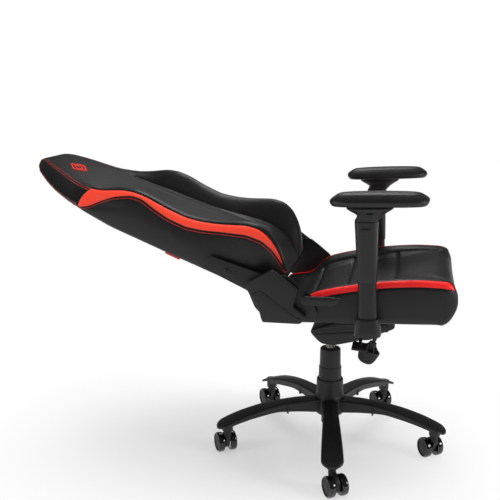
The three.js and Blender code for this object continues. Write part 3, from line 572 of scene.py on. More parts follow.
piece("rocker_pin", ends + [bar], powder_steel, "mechanism", ["tilt_pin"], 35)

# %% [markdown]
# ### Tension knob
# The knob under the seat's front sets how hard the seat rocks. It hangs at a slant, so its profile
# is turned about the joint's own axis, and its flutes are a ripple of the radius.

# %% Tension knob
KNOB = np.array(joints["tension_knob_turn"]["pos_m"]) / MM - COLUMN
KNOB_AXIS = joints["tension_knob_turn"]["axis"]


def flutes(a, h):
    """Eighteen rounded flutes, deepest half way down the cup and none on its rim, neck or end."""
    depth = 0.085 * np.clip((h + 40) / 12, 0, 1) * np.clip(-h / 6, 0, 1)
    return 1 - depth * np.abs(np.sin(9 * a)) ** 1.4


cup = turned([(0, -42), (10, -42), (17, -41), (22, -38), (25, -33), (27.5, -26), (29.6, -16), (31, -7),
              (31.8, -3), (32, 0), (31, 1.6), (29, 2), (16, 2.5), (14, 4), (12.5, 12), (11, 26), (0, 26)],
             KNOB, KNOB_AXIS, 216, flutes)
shank = turned([(0, 20), (6, 20), (6, 66), (5, 68), (0, 68)], KNOB, KNOB_AXIS, 32)
fins = []
FIN = np.array([(10, 24), (12, 1), (29, 1), (26, 5), (15, 16)])
u, v, w = frame_of(KNOB_AXIS)
for k in range(6):
    a = k * math.pi / 3 + 0.4
    d = math.cos(a) * u + math.sin(a) * v
    e = np.cross(w, d)
    rings = [KNOB + FIN[:, :1] * d + FIN[:, 1:] * w + q * e for q in (-0.9, 0.9)]
    fins.append(shell(np.array(rings), "ngon"))
piece("knob_moulding", [cup, shank] + fins, moulded_black, "tension_knob", ["tension_knob"],
      30)

# %% [markdown]
# ### Levers and carried parts
# Two bent rods with moulded paddles stick out under the seat: one for the height, one for the tilt
# lock. Parts that hardly show keep the skeleton's own shape and only get a finish.

# %% Levers and carried parts
for name, side in (("height_lever", -1), ("tilt_lever", 1)):
    path = smooth_path([(88, side * 20, 392), (88, side * 90, 392), (89, side * 116, 391.6),
                        (99, side * 138, 386.6), (100, side * 160, 385), (100, side * 196, 382.4)], 60)
    rod = tube(path, 4.8, 20, up=(0, 0, 1))
    blade = rounded([(-21, -3), (18, -7), (24, -4), (20, 0), (-16, 4), (-22, 1)], 3, 4)
    lo, hi = sorted((side * 160, side * 222))
    v, f = plate(blade, lo, hi, 2)
    piece(name + "_handle", [rod, (v + [100, 0, 382], f)], moulded_black, name, [name], 35)
nodes = frame["nodes"]
CARRIED = {"tilt_plate": powder_steel, "gas_cylinder": powder_steel, "seat_pan": plywood,
           "recline_shaft": chrome_steel, "back_frame": powder_steel, "arm_bracket_right": powder_steel,
           "arm_bracket_left": powder_steel}
for name, material in CARRIED.items():
    nodes[name].data.materials.clear()
    nodes[name].data.materials.append(material)
print("mechanism done")

# %% [markdown]
# ## Recliner
# Steel plates are bolted to the seat's sides, steel strips carry the backrest, and a ratchet joins
# them under a moulded cover. All of them are plates with rounded rims. The cover has a second,
# lower facet, as a moulded one does where the draft angle changes.

# %% Recliner plates and covers
HINGE_Y, STEEL, COVER_Y = 257.5, 4.0, 268.5
HINGE = [(-168, 474), (-182, 520), (-176, 556), (-140, 596), (-92, 592), (-64, 570), (-29, 541), (-21, 512),
         (-11, 492), (-15, 484), (-32, 480)]
COVER = [(-134, 613), (-62, 559), (-76, 514), (-38, 484), (-56, 466), (-160, 466), (-172, 508), (-198, 547),
         (-204, 566), (-198, 578)]
FACET = [(-190, 545), (-163, 556), (-70, 486), (-48, 481), (-60, 470), (-156, 470), (-168, 508), (-190, 540)]
STRIP = np.array([(205, 20), (192, 60), (10, 76), (-22, 44), (-31, 0), (-22, -22), (0, -31), (24, -20),
                  (58, 14)]) + [7.5, -33.6]


def on_side(side, near, far):
    """Two distances from the middle as a low and a high Y on one side of the chair."""
    return (-far, -near) if side < 0 else (near, far)


def back_outline(outline):
    """s, t corners of the backrest as x, z corners of the column frame."""
    p = on_back(np.stack([outline[:, 0], np.zeros(len(outline)), outline[:, 1]], 1))
    return p[:, [0, 2]]


for name, side in (("right", -1), ("left", 1)):
    piece(f"hinge_blank_{name}", [plate(rounded(HINGE, 7), *on_side(side, HINGE_Y, HINGE_Y + STEEL), 0.9)],
          powder_steel, "seat", [f"hinge_plate_{name}"])
    cover = plate(rounded(COVER, 7, 8), *on_side(side, COVER_Y, COVER_Y + 19), 3.2)
    facet = plate(rounded(FACET, 6, 6), *on_side(side, COVER_Y + 10, COVER_Y + 20.6), 1.6)
    piece(f"recliner_shell_{name}", [cover, facet], moulded_black, "seat", [f"recliner_cover_{name}"],
          40)
    strip = plate(rounded(back_outline(STRIP), 8), *on_side(side, HINGE_Y + STEEL + 1,
                                                            HINGE_Y + 2 * STEEL + 1), 0.9)
    piece(f"back_strip_{name}", [strip], powder_steel, "back", [f"back_arm_{name}"])
    bolt = on_back((140.7, 0, 6.5))
    head = turned([(0, 0), (8, 0), (8, 0.8), (7.4, 2.4), (5.5, 3.6), (4.2, 4), (3.6, 4), (3.4, 2.2),
                   (0, 2.2)], (bolt[0], side * 266.8, bolt[2]), (0, side, 0), 36)
    piece(f"strip_bolt_{name}", [head], powder_steel, "back", [f"back_bolt_{name}"], 30)

# %% [markdown]
# ### Recline lever
# The handle lies beside the seat on the right. It is a flat moulding with an inlay a little proud
# of it, so two plates with rounded rims are enough, and a turned boss reaches the hinge.

# %% Recline lever
LEVER_AT = np.array(joints["recline_lever_pull"]["pos_m"]) / MM - COLUMN
LEVER = [(-54, 538), (-46, 546), (20, 548), (54, 545), (44, 532), (34, 525), (-48, 523)]
INLAY = [(-30, 541), (22, 544), (40, 541), (32, 533), (24, 529), (-30, 528)]
grip = plate(rounded(LEVER, 6, 8), -300, -288, 3)
pad = plate(rounded(INLAY, 5, 6), -301.2, -296, 1)
boss = turned([(0, 0), (8, 0), (8, 28), (0, 28)], (LEVER_AT[0], -290, LEVER_AT[2]), (0, 1, 0), 36)
piece("lever_moulding", [grip, pad, boss], moulded_black, "recline_lever", ["recline_lever"],
      40)
screw = turned([(0, 0), (4.6, 0), (4.6, 1.4), (3.6, 2.2), (1.6, 2.2), (1.4, 1), (0, 1)],
               (LEVER_AT[0], -299.6, LEVER_AT[2]), (0, -1, 0), 28)
piece("lever_rivet", [screw], powder_steel, "recline_lever", ["lever_screw"], 30)
print("recliner done")

# %% [markdown]
# ## Armrests
# A boot, a post, a sleeve that slides on it, a flared head and a padded top. The section is a
# rounded rectangle, |x/a|^p + |y/b|^p = 1, whose size changes up the arm, so one loft per piece
# gives the tapers and flares.

# %% Armrest sections
ARM_X, ARM_Y = 125.5, 288.0


def superellipse(a, b, power, n=72):
    """Points of |x/a|^p + |y/b|^p = 1."""
    t = np.linspace(0, 2 * math.pi, n, endpoint=False)
    c, s = np.cos(t), np.sin(t)
    return np.stack([a * np.sign(c) * np.abs(c) ** (2 / power), b * np.sign(s) * np.abs(s) ** (2 / power)], 1)


def stacked(rows, centre, power=3.0, n=72):
    """A loft up the arm; rows hold half length, half width, height and the middle's shift in x."""
    rings = []
    for a, b, z, dx in rows:
        q = superellipse(a, b, power, n)
        rings.append(np.stack([q[:, 0] + centre[0] + dx, q[:, 1] + centre[1], np.full(n, z)], 1))
    return shell(np.array(rings), "pole")


# how far each row of the pad is drawn in, and its height
PAD_ROWS = [(12, 0), (7.5, 0.5), (4, 3), (1.2, 8), (0, 12), (0.6, 15.5), (3, 19.5), (9, 25), (15, 29.6),
            (18.5, 32), (24, 34), (34, 35.2), (46, 35.7)]
PAD_HALF, PAD_X, PAD_Z, TOE_IN = (127, 52), 159, 331.3, math.radians(4.3)


def pad_shell(side):
    """Padded top: outlines inset row by row, crowned along its length and turned in at the front."""
    length, width = PAD_HALF
    rings = []
    for by, z in PAD_ROWS:
        q = superellipse(length - by * 1.05, width - by, 3.6, 96)
        crown = (q[:, 0] / length) ** 2 * max(0, z - 16) * 0.16
        rings.append(np.stack([q[:, 0], q[:, 1], np.full(96, PAD_Z + z) - crown], 1))
    v, f = shell(np.array(rings), "pole")
    c, s = math.cos(TOE_IN * side), math.sin(TOE_IN * side)
    v = np.stack([v[:, 0] * c - v[:, 1] * s + PAD_X, v[:, 0] * s + v[:, 1] * c + side * ARM_Y, v[:, 2]], 1)
    return v, f


# %% Armrests
for name, side in (("right", -1), ("left", 1)):
    at = (ARM_X, side * ARM_Y)
    boot = stacked([(30, 21, -20, 0), (34, 25, -19, 0), (35.4, 26.4, -16, 0), (35, 26, -4, 0),
                    (33.4, 24.4, 10, 0), (31.6, 22.6, 24, 0), (31, 22, 28, 0), (29.6, 20.6, 29.6, 0),
                    (25, 17, 29.8, 0)], at)
    piece(f"arm_boot_moulding_{name}", seated([boot]), moulded_black, "seat", [f"arm_boot_{name}"],
          40)
    post = stacked([(24.5, 16.5, 0, 0), (24.5, 16.5, 172, 0)], at)
    piece(f"arm_post_tube_{name}", seated([post]), powder_steel, "seat", [f"arm_post_{name}"],
          40)
    sleeve = stacked([(24.9, 17, 131.5, 0), (25.4, 17.6, 130.2, 0), (26.3, 18.6, 130, 0), (26.8, 19, 132, 0),
                      (27, 19.1, 150, 0), (27.8, 19.6, 210, 0), (29.4, 20.4, 262, 0), (30.5, 21, 286, 0),
                      (30.3, 20.9, 289.2, 0), (29, 19.8, 290, 0)], at)
    piece(f"arm_sleeve_moulding_{name}", seated([sleeve]), satin_sleeve, f"arm_sleeve_{name}",
          [f"arm_sleeve_{name}"], 40)
    key = superellipse(11, 5, 2.5, 48)
    button = plate(np.stack([key[:, 0] + ARM_X, key[:, 1] + 268], 1),
                   *on_side(side, ARM_Y + 14, ARM_Y + 22.6), 1.4)
    ring = superellipse(14, 8, 2.6, 48)
    collar = plate(np.stack([ring[:, 0] + ARM_X, ring[:, 1] + 268], 1),
                   *on_side(side, ARM_Y + 18, ARM_Y + 21), 0.8)
    piece(f"arm_key_{name}", seated([button]), moulded_black, f"arm_button_{name}", [f"arm_button_{name}"],
          35)
    piece(f"arm_key_surround_{name}", seated([collar]), satin_sleeve, f"arm_sleeve_{name}",
          angle=35)
    head = stacked([(28, 19.4, 290.4, 0), (30, 20.8, 291, 0), (30.6, 21.2, 294, 1), (31.4, 22, 300, 6),
                    (34, 24, 307, 10), (43, 28, 313, 10), (53, 32, 319, 10), (58.6, 34.6, 322.6, 10),
                    (60.8, 36, 325.4, 10), (60, 35.6, 327, 10)], at)
    tab = stacked([(12, 6, 304, 0), (12, 6, 312, 0)], (ARM_X + 10, side * (ARM_Y + 25)), 2.6, 40)
    piece(f"arm_head_{name}", seated([head, tab]), moulded_black, f"arm_carrier_{name}",
          [f"arm_carrier_{name}"], 40)
    track = stacked([(57, 29, 327.3, 0), (58, 30, 328, 0), (58, 30, 330.4, 0), (57, 29, 331, 0)],
                    (at[0] + 10, at[1]), 4)
    piece(f"arm_track_{name}", seated([track]), moulded_black, f"arm_slide_{name}", [f"arm_slide_{name}"],
          40)
    pad = piece(f"arm_top_{name}", seated([pad_shell(side)]), pad_skin, f"arm_pad_{name}",
                [f"arm_pad_{name}"], 45)
print("armrests done")

# %% [markdown]
# ## Cushions
# Each cushion starts as a loft of its sections, remeshed to even quads. Cloth with a gas pressure
# inside then swells it while its seams are held, so the panels crown between the seams as stuffed
# ones do. The seams are pressed in afterwards, and distances to them are kept on the mesh, where
# the leather reads them.

# %% Cushion sections
SEAT_CLEAR, BACK_CLEAR = 256.2, 256.0  # the cushions stay inside the hinge plates and strips
SWELL = 2.5  # the skins start this much inside the finished cushions and swell out to them
SEAT_W, BACK_W = 252.0, [(-14, 193), (0, 209), (60, 237), (150, 249), (330, 241), (480, 249), (590, 257),
                         (650, 240), (700, 212), (745, 184), (778, 156), (800, 130), (814, 106), (822, 84)]
FRONT_W = [(500, 252), (540, 250), (575, 240), (604, 223), (650, 193), (700, 163), (740, 141), (778, 117),
           (800, 97), (814, 76), (822, 56)]
CREST = [(-168, 20), (-130, 28), (-100, 30), (-84, 36), (-66, 51), (-44, 74), (-25, 88), (6, 96), (38, 103),
         (127, 117), (196, 123), (259, 125), (321, 122), (342, 118), (354, 111), (361, 98), (364, 78)]
MIDDLE = [(-168, 20), (-130, 28), (-84, 33), (-59, 42), (-20, 55), (6, 62), (60, 76), (127, 86), (196, 97),
          (259, 108), (321, 110), (346, 104), (356, 94), (360, 84), (363, 68)]
UNDER = [(-168, 12), (-160, 2), (-150, 0.5), (300, 0.5), (322, -3), (342, 12), (357, 36), (363, 60)]
REAR = [(-14, 0), (0, -12), (64, -27), (141, -30), (322, -35), (497, -33), (600, -20), (707, -14),
        (752, -6), (806, 2), (822, 10)]
WING = [(-14, 38), (0, 60), (17, 90), (45, 121), (76, 144), (110, 154), (148, 148), (215, 119), (261, 104),
        (311, 94), (375, 96), (430, 102), (472, 101), (510, 90), (562, 60), (600, 44), (650, 35), (740, 36),
        (806, 34), (822, 26)]
INNER = [(-14, 22), (0, 34), (45, 56), (110, 66), (206, 60), (311, 48), (430, 36), (520, 30), (600, 30),
         (650, 34), (740, 38), (806, 35), (822, 26)]
BAND_LOW = [(0, 60), (21, 80), (52, 103), (87, 116), (132, 115), (192, 96), (247, 76), (296, 64), (349, 64),
            (394, 72), (440, 84), (471, 81), (515, 59), (547, 31), (573, 4), (602, -12)]


def rings_of(stations, half):
    """Half sections of (y, height) points, mirrored and made smooth; the rows run along x or s."""
    rows = []
    for points in half:
        points = np.array(points, float)
        other = points[::-1] * [-1, 1]
        rows.append(np.concatenate([points, other[other[:, 0] < -1e-6]]))
    rows = through(np.array(rows), [4] * len(rows[0]))
    return np.concatenate([np.broadcast_to(np.array(stations)[:, None, None], rows.shape[:2] + (1,)), rows],
                          -1)


def seat_skin():
    """Sections of the seat: a shallow dish between bolsters, and a tray underneath for the board."""
    x = np.concatenate([np.linspace(-166, -66, 24), [-61.5], np.linspace(-58, 298, 74), [301.5],
                        np.linspace(305, 345, 10), 345 + 16 * np.sin(np.linspace(0.1, math.pi / 2, 9))])
    crest, mid, low = curve(CREST, x, 7) - SWELL, curve(MIDDLE, x, 7) - SWELL, curve(UNDER, x, 4)
    tray = np.where((x > -62) & (x < 302), 16.6, low)
    half = []
    for q, c, m, l, t in zip(x, crest, mid, low, tray):
        d, h, w = c - m, c - l, SEAT_W - max(0, q - 335) * 0.45
        half.append([(0, m), (70, m), (120, m + 0.03 * d), (158, m + 0.14 * d), (185, m + 0.45 * d),
                     (206, m + 0.82 * d), (222, c - 0.5), (234, c), (w - 7, c - 0.04 * h),
                     (w - 2, c - 0.14 * h), (w, c - 0.36 * h), (w, l + 0.3 * h), (w - 2, l + 0.08 * h),
                     (w - 9, l), (221, l), (218, (l + t) / 2), (216, t), (110, t), (0, t)])
    return rings_of(x, half)


def front_width(s):
    """Half width of the backrest's front face: BACK_W up to the shoulders, narrower along the head."""
    return np.where(s < 505, curve(BACK_W, s, 16), np.minimum(curve(FRONT_W, s, 16), curve(BACK_W, s, 16)))


def back_skin():
    """Sections of the backrest: a board with two wings whose height and width change along s."""
    s = np.concatenate([np.linspace(-11, 800, 150), 800 + 19 * np.sin(np.linspace(0.12, math.pi / 2, 8))])
    w, f, r = curve(BACK_W, s, 16), front_width(s), curve(REAR, s, 12) + SWELL
    c, m = curve(WING, s, 9) - SWELL, curve(INNER, s, 14) - SWELL
    end = 0.45 + 0.55 * np.sqrt(np.clip(1 - (np.clip(s - 800, 0, 19) / 19.2) ** 2, 0, 1))
    middle = (r + m) / 2
    r, c, m = (middle + (q - middle) * end for q in (r, c, m))
    half = []
    for w1, f1, r1, c1, m1 in zip(w, f, r, c, m):
        d, h, k, out = c1 - m1, c1 - r1, 1 - 0.7 * min(1, (w1 - f1) / 30), w1 - f1
        half.append([(0, m1), (0.25 * f1, m1), (0.45 * f1, m1 + 0.03 * d), (0.58 * f1, m1 + 0.14 * d),
                     (0.68 * f1, m1 + 0.5 * d), (0.76 * f1, m1 + 0.84 * d), (0.84 * f1, c1 - 0.3),
                     (f1 * (1 - 0.1 * k), c1 - 0.015 * h * k), (f1 * (1 - 0.05 * k), c1 - 0.06 * h * k),
                     (f1 * (1 - 0.015 * k) + 0.02 * out, c1 - 0.17 * h * k),
                     (f1 + 0.07 * out, c1 - 0.36 * h * k), (f1 + 0.7 * out, r1 + 0.4 * h),
                     (w1 - 1.5, r1 + 0.18 * h), (w1 - 6, r1 + 0.05 * h), (w1 - 16, r1 + 0.5), (w1 - 40, r1),
                     (0.45 * w1, r1), (0, r1)])
    return rings_of(s, half)


# %% Cloth under pressure
def baked(obj):
    """The object's mesh with its modifiers applied."""
    view = bpy.context.evaluated_depsgraph_get()
    mesh = bpy.data.meshes.new_from_object(obj.evaluated_get(view), depsgraph=view)
    obj.modifiers.clear()
    obj.data = mesh
    return mesh


def read(mesh, what="position"):
    """Vertex positions or normals as an array, positions in millimetres on the column frame."""
    flat = np.empty(len(mesh.vertices) * 3, np.float32)
    if what == "position":
        mesh.vertices.foreach_get("co", flat)
        return flat.reshape(-1, 3).astype(float) / MM - COLUMN
    mesh.vertices.foreach_get("normal", flat)
    return flat.reshape(-1, 3).astype(float)


def write(mesh, points):
    """The inverse of read for positions."""
    mesh.vertices.foreach_set("co", ((points + COLUMN) * MM).astype(np.float32).ravel())
    mesh.update()


def stuffed(name, skin, voxel, hold, cap, pressure):
    """Remesh to voxel millimetres, 20 frames of cloth with pins of weight hold(p), then
    q = p + d * cap * tanh(|d| / cap) / |d| for each point's travel d, and one subdivision."""
    v, faces = skin
    mesh = bpy.data.meshes.new(name)
    mesh.from_pydata(((v + COLUMN) * MM).tolist(), [], faces)
    bm = bmesh.new()
    bm.from_mesh(mesh)
    bmesh.ops.remove_doubles(bm, verts=bm.verts, dist=1e-6)
    bmesh.ops.recalc_face_normals(bm, faces=bm.faces)
    bm.to_mesh(mesh)
    bm.free()
    obj = bpy.data.objects.new(name, mesh)
    scene.collection.objects.link(obj)
    even = obj.modifiers.new("even", "REMESH")
    even.mode, even.voxel_size = "VOXEL", voxel * MM
    mesh = baked(obj)
    rest = read(mesh)
    weight = np.clip(hold(rest), 0, 1)
    group = obj.vertex_groups.new(name="held")
    for level in range(1, 9):
        chosen = np.nonzero(np.round(weight * 8) == level)[0]
        if len(chosen):
            group.add(chosen.tolist(), level / 8, "REPLACE")
    cloth = obj.modifiers.new("cloth", "CLOTH")
    cloth.settings.quality = 4
    cloth.settings.use_pressure = True
    cloth.settings.uniform_pressure_force = pressure
    cloth.settings.effector_weights.gravity = 0
    cloth.settings.vertex_group_mass = "held"
    cloth.point_cache.frame_start, cloth.point_cache.frame_end = 1, 20
    for step in range(1, 21):
        scene.frame_set(step)
    travel = read(obj.evaluated_get(bpy.context.evaluated_depsgraph_get()).data) - rest
    obj.modifiers.clear()
    obj.vertex_groups.clear()
    scene.frame_set(1)
    size = np.linalg.norm(travel, axis=1, keepdims=True) + 1e-9
    write(mesh, rest + travel * cap * np.tanh(size / cap) / size)
    print(name, "swelled by", round(float(np.percentile(size, 95)), 1), "mm before the cap")
    finer = obj.modifiers.new("finer", "SUBSURF")
    finer.levels = finer.render_levels = 1
    baked(obj)
    return obj


def kept(distance, outside):
    """A signed distance that fades where outside is positive: sign(d) * hypot(d, outside)."""
    return np.where(distance < 0, -1, 1) * np.hypot(distance, np.maximum(outside, 0))


def dent(value, width):
    """A bell round zero: exp(-(v / width)^2)."""
    return np.exp(-(value / width) ** 2)


AWAY = 50.0  # a distance at which no seam or thread shows


def store(mesh, **values):
    """Float attributes on the vertices, for the leather to read."""
    for name, value in values.items():
        mesh.attributes.new(name, "FLOAT", "POINT").data.foreach_set("value", value.astype(np.float32))


# %% [markdown]
# ### Leather
# Synthetic leather over foam: a pebble grain of about two millimetres and soft creases. The red
# bands are sewn in, so their edges are seams, and the red thread lines are short stitches: dashes
# of 3.4 mm every 4.6 mm, counted by the length kept on the mesh.

# %% Leather material
STITCH, DASH = 4.6, 3.4  # pitch of the stitches and the thread that shows of each


def leather(name, band_dark, band_light):
    """Black leather with a coloured band, painted shade at the seams and dashed thread, all placed by
    distances.
    """
    mat, tree = blank(name)
    place = add(tree, "ShaderNodeTexCoord")

    def near(which, inner, outer):
        """1 where |distance| is under inner, falling to 0 at outer."""
        distance = add(tree, "ShaderNodeAttribute", {"attribute_name": which})
        size = add(tree, "ShaderNodeMath", {"operation": "ABSOLUTE"}, links={0: (distance, "Fac")})
        return (add(tree, "ShaderNodeMapRange", values={"From Min": outer, "From Max": inner},
                    links={"Value": (size, "Value")}), "Result")

    def most(*masks):
        """The largest of the masks at each point."""
        top = masks[0]
        for mask in masks[1:]:
            top = (add(tree, "ShaderNodeMath", {"operation": "MAXIMUM"}, links={0: top, 1: mask}), "Value")
        return top

    cloud = add(tree, "ShaderNodeTexNoise", values={"Scale": per_mm(80), "Detail": 3.0},
                links={"Vector": (place, "Object")})
    crease = add(tree, "ShaderNodeTexNoise", values={"Scale": per_mm(42), "Detail": 4.0, "Distortion": 0.6},
                 links={"Vector": (place, "Object")})
    pebble = add(tree, "ShaderNodeTexVoronoi", {"feature": "SMOOTH_F1"},
                 {"Scale": per_mm(2.3), "Smoothness": 0.7}, {"Vector": (place, "Object")})
    black = add(tree, "ShaderNodeMix", {"data_type": "RGBA"}, {6: colour("#0e0e0e"), 7: colour("#171718")},
                {0: (cloud, "Fac")})
    band = add(tree, "ShaderNodeMix", {"data_type": "RGBA"}, {6: colour(band_dark), 7: colour(band_light)},
               {0: (cloud, "Fac")})
    in_band = add(tree, "ShaderNodeAttribute", {"attribute_name": "band"})
    inside = add(tree, "ShaderNodeMapRange", values={"From Min": -0.4, "From Max": 0.4},
                 links={"Value": (in_band, "Fac")})
    skin = add(tree, "ShaderNodeMix", {"data_type": "RGBA"},
               links={0: (inside, "Result"), 6: (black, 2), 7: (band, 2)})
    # painted shade: the seam grooves and the band's edges are darkened to #060606, standing in for the shade
    # in them; the same mask also cuts the groove's bump
    groove_shade = most(near("seam_a", 0.3, 1.5), near("seam_b", 0.3, 1.5), near("band", 0.2, 1.1))
    dark = add(tree, "ShaderNodeMix", {"data_type": "RGBA"}, {7: colour("#060606")}, {0: groove_shade, 6: (skin, 2)})
    run = add(tree, "ShaderNodeAttribute", {"attribute_name": "run"})
    wave = add(tree, "ShaderNodeMath", {"operation": "MODULO"}, {1: STITCH}, {0: (run, "Fac")})
    dash = add(tree, "ShaderNodeMath", {"operation": "LESS_THAN"}, {1: DASH}, {0: (wave, "Value")})
    lines = most(near("thread_a", 0.55, 0.95), near("thread_b", 0.55, 0.95), near("thread_c", 0.55, 0.95))
    thread = (add(tree, "ShaderNodeMath", {"operation": "MULTIPLY"}, links={0: lines, 1: (dash, "Value")}),
              "Value")
    sewn = add(tree, "ShaderNodeMix", {"data_type": "RGBA"}, {7: colour("#e02318")},
               {0: thread, 6: (dark, 2)})
    rough = add(tree, "ShaderNodeMapRange", values={"To Min": 0.36, "To Max": 0.5},
                links={"Value": (cloud, "Fac")})
    soft = add(tree, "ShaderNodeBump", values={"Strength": 0.35, "Distance": 1.6 * MM},
               links={"Height": (crease, "Fac")})
    grain = add(tree, "ShaderNodeBump", values={"Strength": 0.3, "Distance": 0.25 * MM},
                links={"Height": (pebble, "Distance"), "Normal": (soft, "Normal")})
    cut = add(tree, "ShaderNodeBump", {"invert": True}, {"Strength": 0.9, "Distance": 0.9 * MM},
              {"Height": groove_shade, "Normal": (grain, "Normal")})
    raised = add(tree, "ShaderNodeBump", values={"Strength": 0.8, "Distance": 0.5 * MM},
                 links={"Height": thread, "Normal": (cut, "Normal")})
    surface = add(tree, "ShaderNodeBsdfPrincipled", values={"Specular IOR Level": 0.35},
                  links={"Base Color": (sewn, 2), "Roughness": (rough, "Result"),
                         "Normal": (raised, "Normal")})
    add(tree, "ShaderNodeOutputMaterial", links={"Surface": (surface, "BSDF")})
    return mat


def upholstered(cushion, material, body, node):
    """A finished cover: its leather, the body it moves with and the CAD node it replaces."""
    cushion.data.materials.append(material)
    cushion.data.shade_smooth()
    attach(cushion, body)
    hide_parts(node)
    print(node, len(cushion.data.polygons), "quads")


seat_leather = leather("synthetic leather, seat", "#e50f1c", "#f2261f")
back_leather = leather("synthetic leather, backrest", "#ee3a26", "#fb4a31")

# %% [markdown]
# ### Seat cushion
# The real cover is cut from panels: a middle with three cross seams, two bolsters, and a red strip
# let in along each upper edge. The seams could be modelled as grooves in the loft, but then the
# foam wouldn't swell between them. Here each seam is a distance that pins the cloth, presses the
# groove and paints shade into the leather along it, so all three agree.

# %% Seat cushion
CROSS = np.array([-40.0, 58.0, 195.0])  # where the three cross seams lie, along x


def seat_lines(p):
    """Signed distances on the seat: the red band, the cross seams, the seams beside the bolsters, and
    the length along the chair. The cross seams are the roots of one cubic divided by its slope."""
    q = off_seat(p)
    x, y, z = q[:, 0], np.abs(q[:, 1]), q[:, 2]
    crest = curve(CREST, x, 7)
    top = z > curve(MIDDLE, x, 7) - 16
    cubic = np.prod(x[:, None] - CROSS, axis=1)
    slope = sum(np.prod(x[:, None] - np.delete(CROSS, i), axis=1) for i in range(3))
    cross = kept(cubic / (np.abs(slope) + 60), np.where(top, y - 188, 99))
    along = kept(y - 190, np.where(top, x - 322, 99))
    width = 20 - np.clip((x - 330) / 32, 0, 1) ** 2 * 9
    corner = SEAT_W - 19 + np.clip((x - 338) / 26, 0, 1) * 12
    band = np.minimum.reduce([z - (crest - width), y - corner, 366 - x])
    return band, cross, along, x + 500, z


def seat_hold(p):
    """Pins: firm at the seams, the underside and the rear, free in the middle of each panel."""
    band, cross, along, run, z = seat_lines(p)
    q = off_seat(p)
    return np.maximum.reduce([dent(band, 7), dent(cross, 9), dent(along, 9) * 0.9, (z < 22) * 1.0,
                              (q[:, 0] < -70) * 0.9])


v, f = shell(seat_skin())
seat_cushion = stuffed("seat_cover", (on_seat(v), f), 6.0, seat_hold, 9.0, 4.0)
mesh = seat_cushion.data
p, n = read(mesh), read(mesh, "normal")
band, cross, along, run, z = seat_lines(p)
top = np.clip((z - 14) / 10, 0, 1)
press = 3.4 * dent(cross, 5) + 3.0 * dent(along, 5) + 1.6 * dent(band, 3.2)
# short pulls where the panels meet the cross seams
q = off_seat(p)
ripple = np.sin(q[:, 1] * 2 * math.pi / 61 + 2.3 * np.sin(q[:, 0] / 27) + 1.9 * np.sin(q[:, 1] / 47)) * 0.4
ripple *= dent(np.abs(cross) - 12, 11)
ripple *= np.clip((186 - np.abs(q[:, 1])) / 12, 0, 1)
p -= n * ((press + ripple) * top)[:, None]
p[:, 1] = np.clip(p[:, 1], -SEAT_CLEAR, SEAT_CLEAR)
write(mesh, p)
far = np.full(len(p), AWAY)
store(mesh, band=band, seam_a=cross, seam_b=along, run=run, thread_a=far, thread_b=far, thread_c=far)
upholstered(seat_cushion, seat_leather, "seat", "seat_cushion")

# %% [markdown]
# ### Back cushion
# The backrest has a wing on each side that is highest beside the waist, and a red strip that
# follows the wing and ends at the shoulder. Its sections change along s, and the strip's lower
# edge is a table of its own, because the real seam doesn't run parallel to the wing's edge.

# %% Back cushion
def back_lines(p):
    """Signed distances on the backrest: the band, the seam inside each wing,
    and three thread lines: under the band, and two near the head's front edge."""
    q = off_back(p)
    s, y, t = q[:, 0], np.abs(q[:, 1]), q[:, 2]
    w, f, rear, wing = curve(BACK_W, s, 16), front_width(s), curve(REAR, s, 12), curve(WING, s, 9)
    low = curve(BAND_LOW, np.clip(s, -6, 602), 7)
    front = t > (rear + wing) / 2
    end = 603 - 7 * np.clip((t + 12) / 56, 0, 1) + 7 * np.sin(np.clip((t + 12) / 56, 0, 1) * math.pi) - s
    band = np.minimum.reduce([t - low, y - (f - 15), end])
    inner = kept(y - (0.63 * w - 4), np.where(front, np.maximum(s - 590, -5 - s), 99))
    side = np.where(y > w - 26, 0, 99)
    under = np.where(s < 596, t - (low - 6.5), np.minimum(t - (rear + 9), 60))
    under = kept(under, np.where(s < 596, side, np.where(y > w - 30, 0, 99)))
    edge = kept(y - (f - 15), np.where(front, np.maximum(s - 812, 520 - s), 99))
    rim = kept(y - (f - 2.5), np.where(front, np.maximum(s - 812, 600 - s), 99))
    return band, inner, under, edge, rim, s + 500


def back_hold(p):
    """Pins: firm at the seams and the rear board, free in the middle of each panel."""
    band, inner, under, edge, rim, run = back_lines(p)
    q = off_back(p)
    flat = q[:, 2] < curve(REAR, q[:, 0], 12) + 5
    return np.maximum.reduce([dent(band, 8), dent(inner, 9), dent(edge, 7) * 0.8, flat * 0.85,
                              (q[:, 0] < 20) * 0.9])


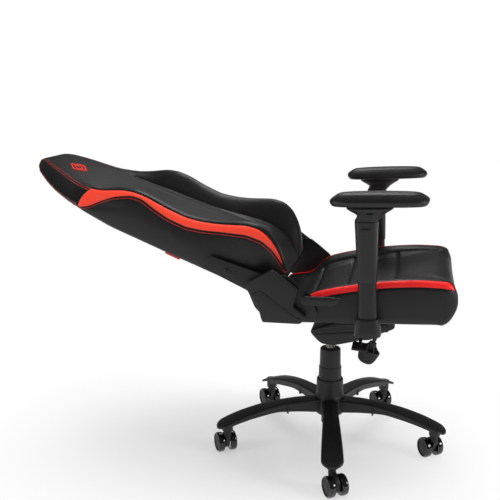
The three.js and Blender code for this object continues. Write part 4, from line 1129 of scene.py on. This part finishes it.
v, f = shell(back_skin())
back_cushion = stuffed("back_cover", (on_back(v), f), 7.0, back_hold, 9.0, 4.0)
mesh = back_cushion.data
p, n = read(mesh), read(mesh, "normal")
band, inner, under, edge, rim, run = back_lines(p)
press = 3.0 * dent(inner, 5) + 1.5 * dent(band, 3.2) + 0.8 * dent(under, 3)
press += 0.8 * dent(edge, 3) + 0.8 * dent(rim, 3)
p -= n * press[:, None]
q = off_back(p)
q[:, 1] = np.where(q[:, 0] < 230, np.clip(q[:, 1], -BACK_CLEAR, BACK_CLEAR), q[:, 1])
write(mesh, on_back(q))
store(mesh, band=band, seam_a=inner, seam_b=np.full(len(p), AWAY), run=run, thread_a=under, thread_b=edge,
      thread_c=rim)
upholstered(back_cushion, back_leather, "back", "back_cushion")

# %% [markdown]
# ### Small sewn details
# The head carries two plain embroidered diamonds, laid on the finished leather by casting rays at
# it. A folded label of red webbing is sewn in at the rear edge of the backrest.

# %% Mark and label
skin_tree = BVHTree.FromObject(back_cushion, bpy.context.evaluated_depsgraph_get())


def on_leather(s, y, lift):
    """A point of the head's front face above (s, y), lifted off the leather by lift millimetres."""
    start = Vector(((on_back((s, y, 150)) + COLUMN) * MM).tolist())
    down = Vector((on_back((0, 0, -1)) - on_back((0, 0, 0))).tolist())
    hit, normal, _, _ = skin_tree.ray_cast(start, down)
    return np.array(hit) / MM - COLUMN + np.array(normal) * lift


def laid_strip(corners, wide, n=26):
    """A satin-stitched line: a closed tube along straight runs, draped on the leather."""
    path = []
    for a, b in zip(corners, corners[1:]):
        for u in np.linspace(0, 1, n, endpoint=False):
            path.append(on_leather(a[0] + (b[0] - a[0]) * u, a[1] + (b[1] - a[1]) * u, 0.25))
    path.append(on_leather(*corners[-1], 0.25))
    return tube(path, wide, 10, up=tuple(on_back((0, 0, 1)) - on_back((0, 0, 0))))


diamond = [(732, -52), (706, -14), (680, -52), (706, -90), (732, -52)]
small = [(719, -52), (706, -33), (693, -52), (706, -71), (719, -52)]
piece("head_mark", [laid_strip(diamond, 3.0), laid_strip(small, 2.4)], red_thread, "back")
a, b = (on_back((s, 0, -33)) for s in (327, 280))
way = (b - a) / np.linalg.norm(b - a)
out = np.array(on_back((0, 0, -1)) - on_back((0, 0, 0)))
corner = [a - out * 7, b - out * 7, b + out * 2.6 - way * 1, a + out * 2.6 + way * 1]
label = plate(rounded([(c[0], c[2]) for c in corner], 1.2, 4), -226.5, -225.1, 0.5)
piece("sewn_label", [label], red_thread, "back")
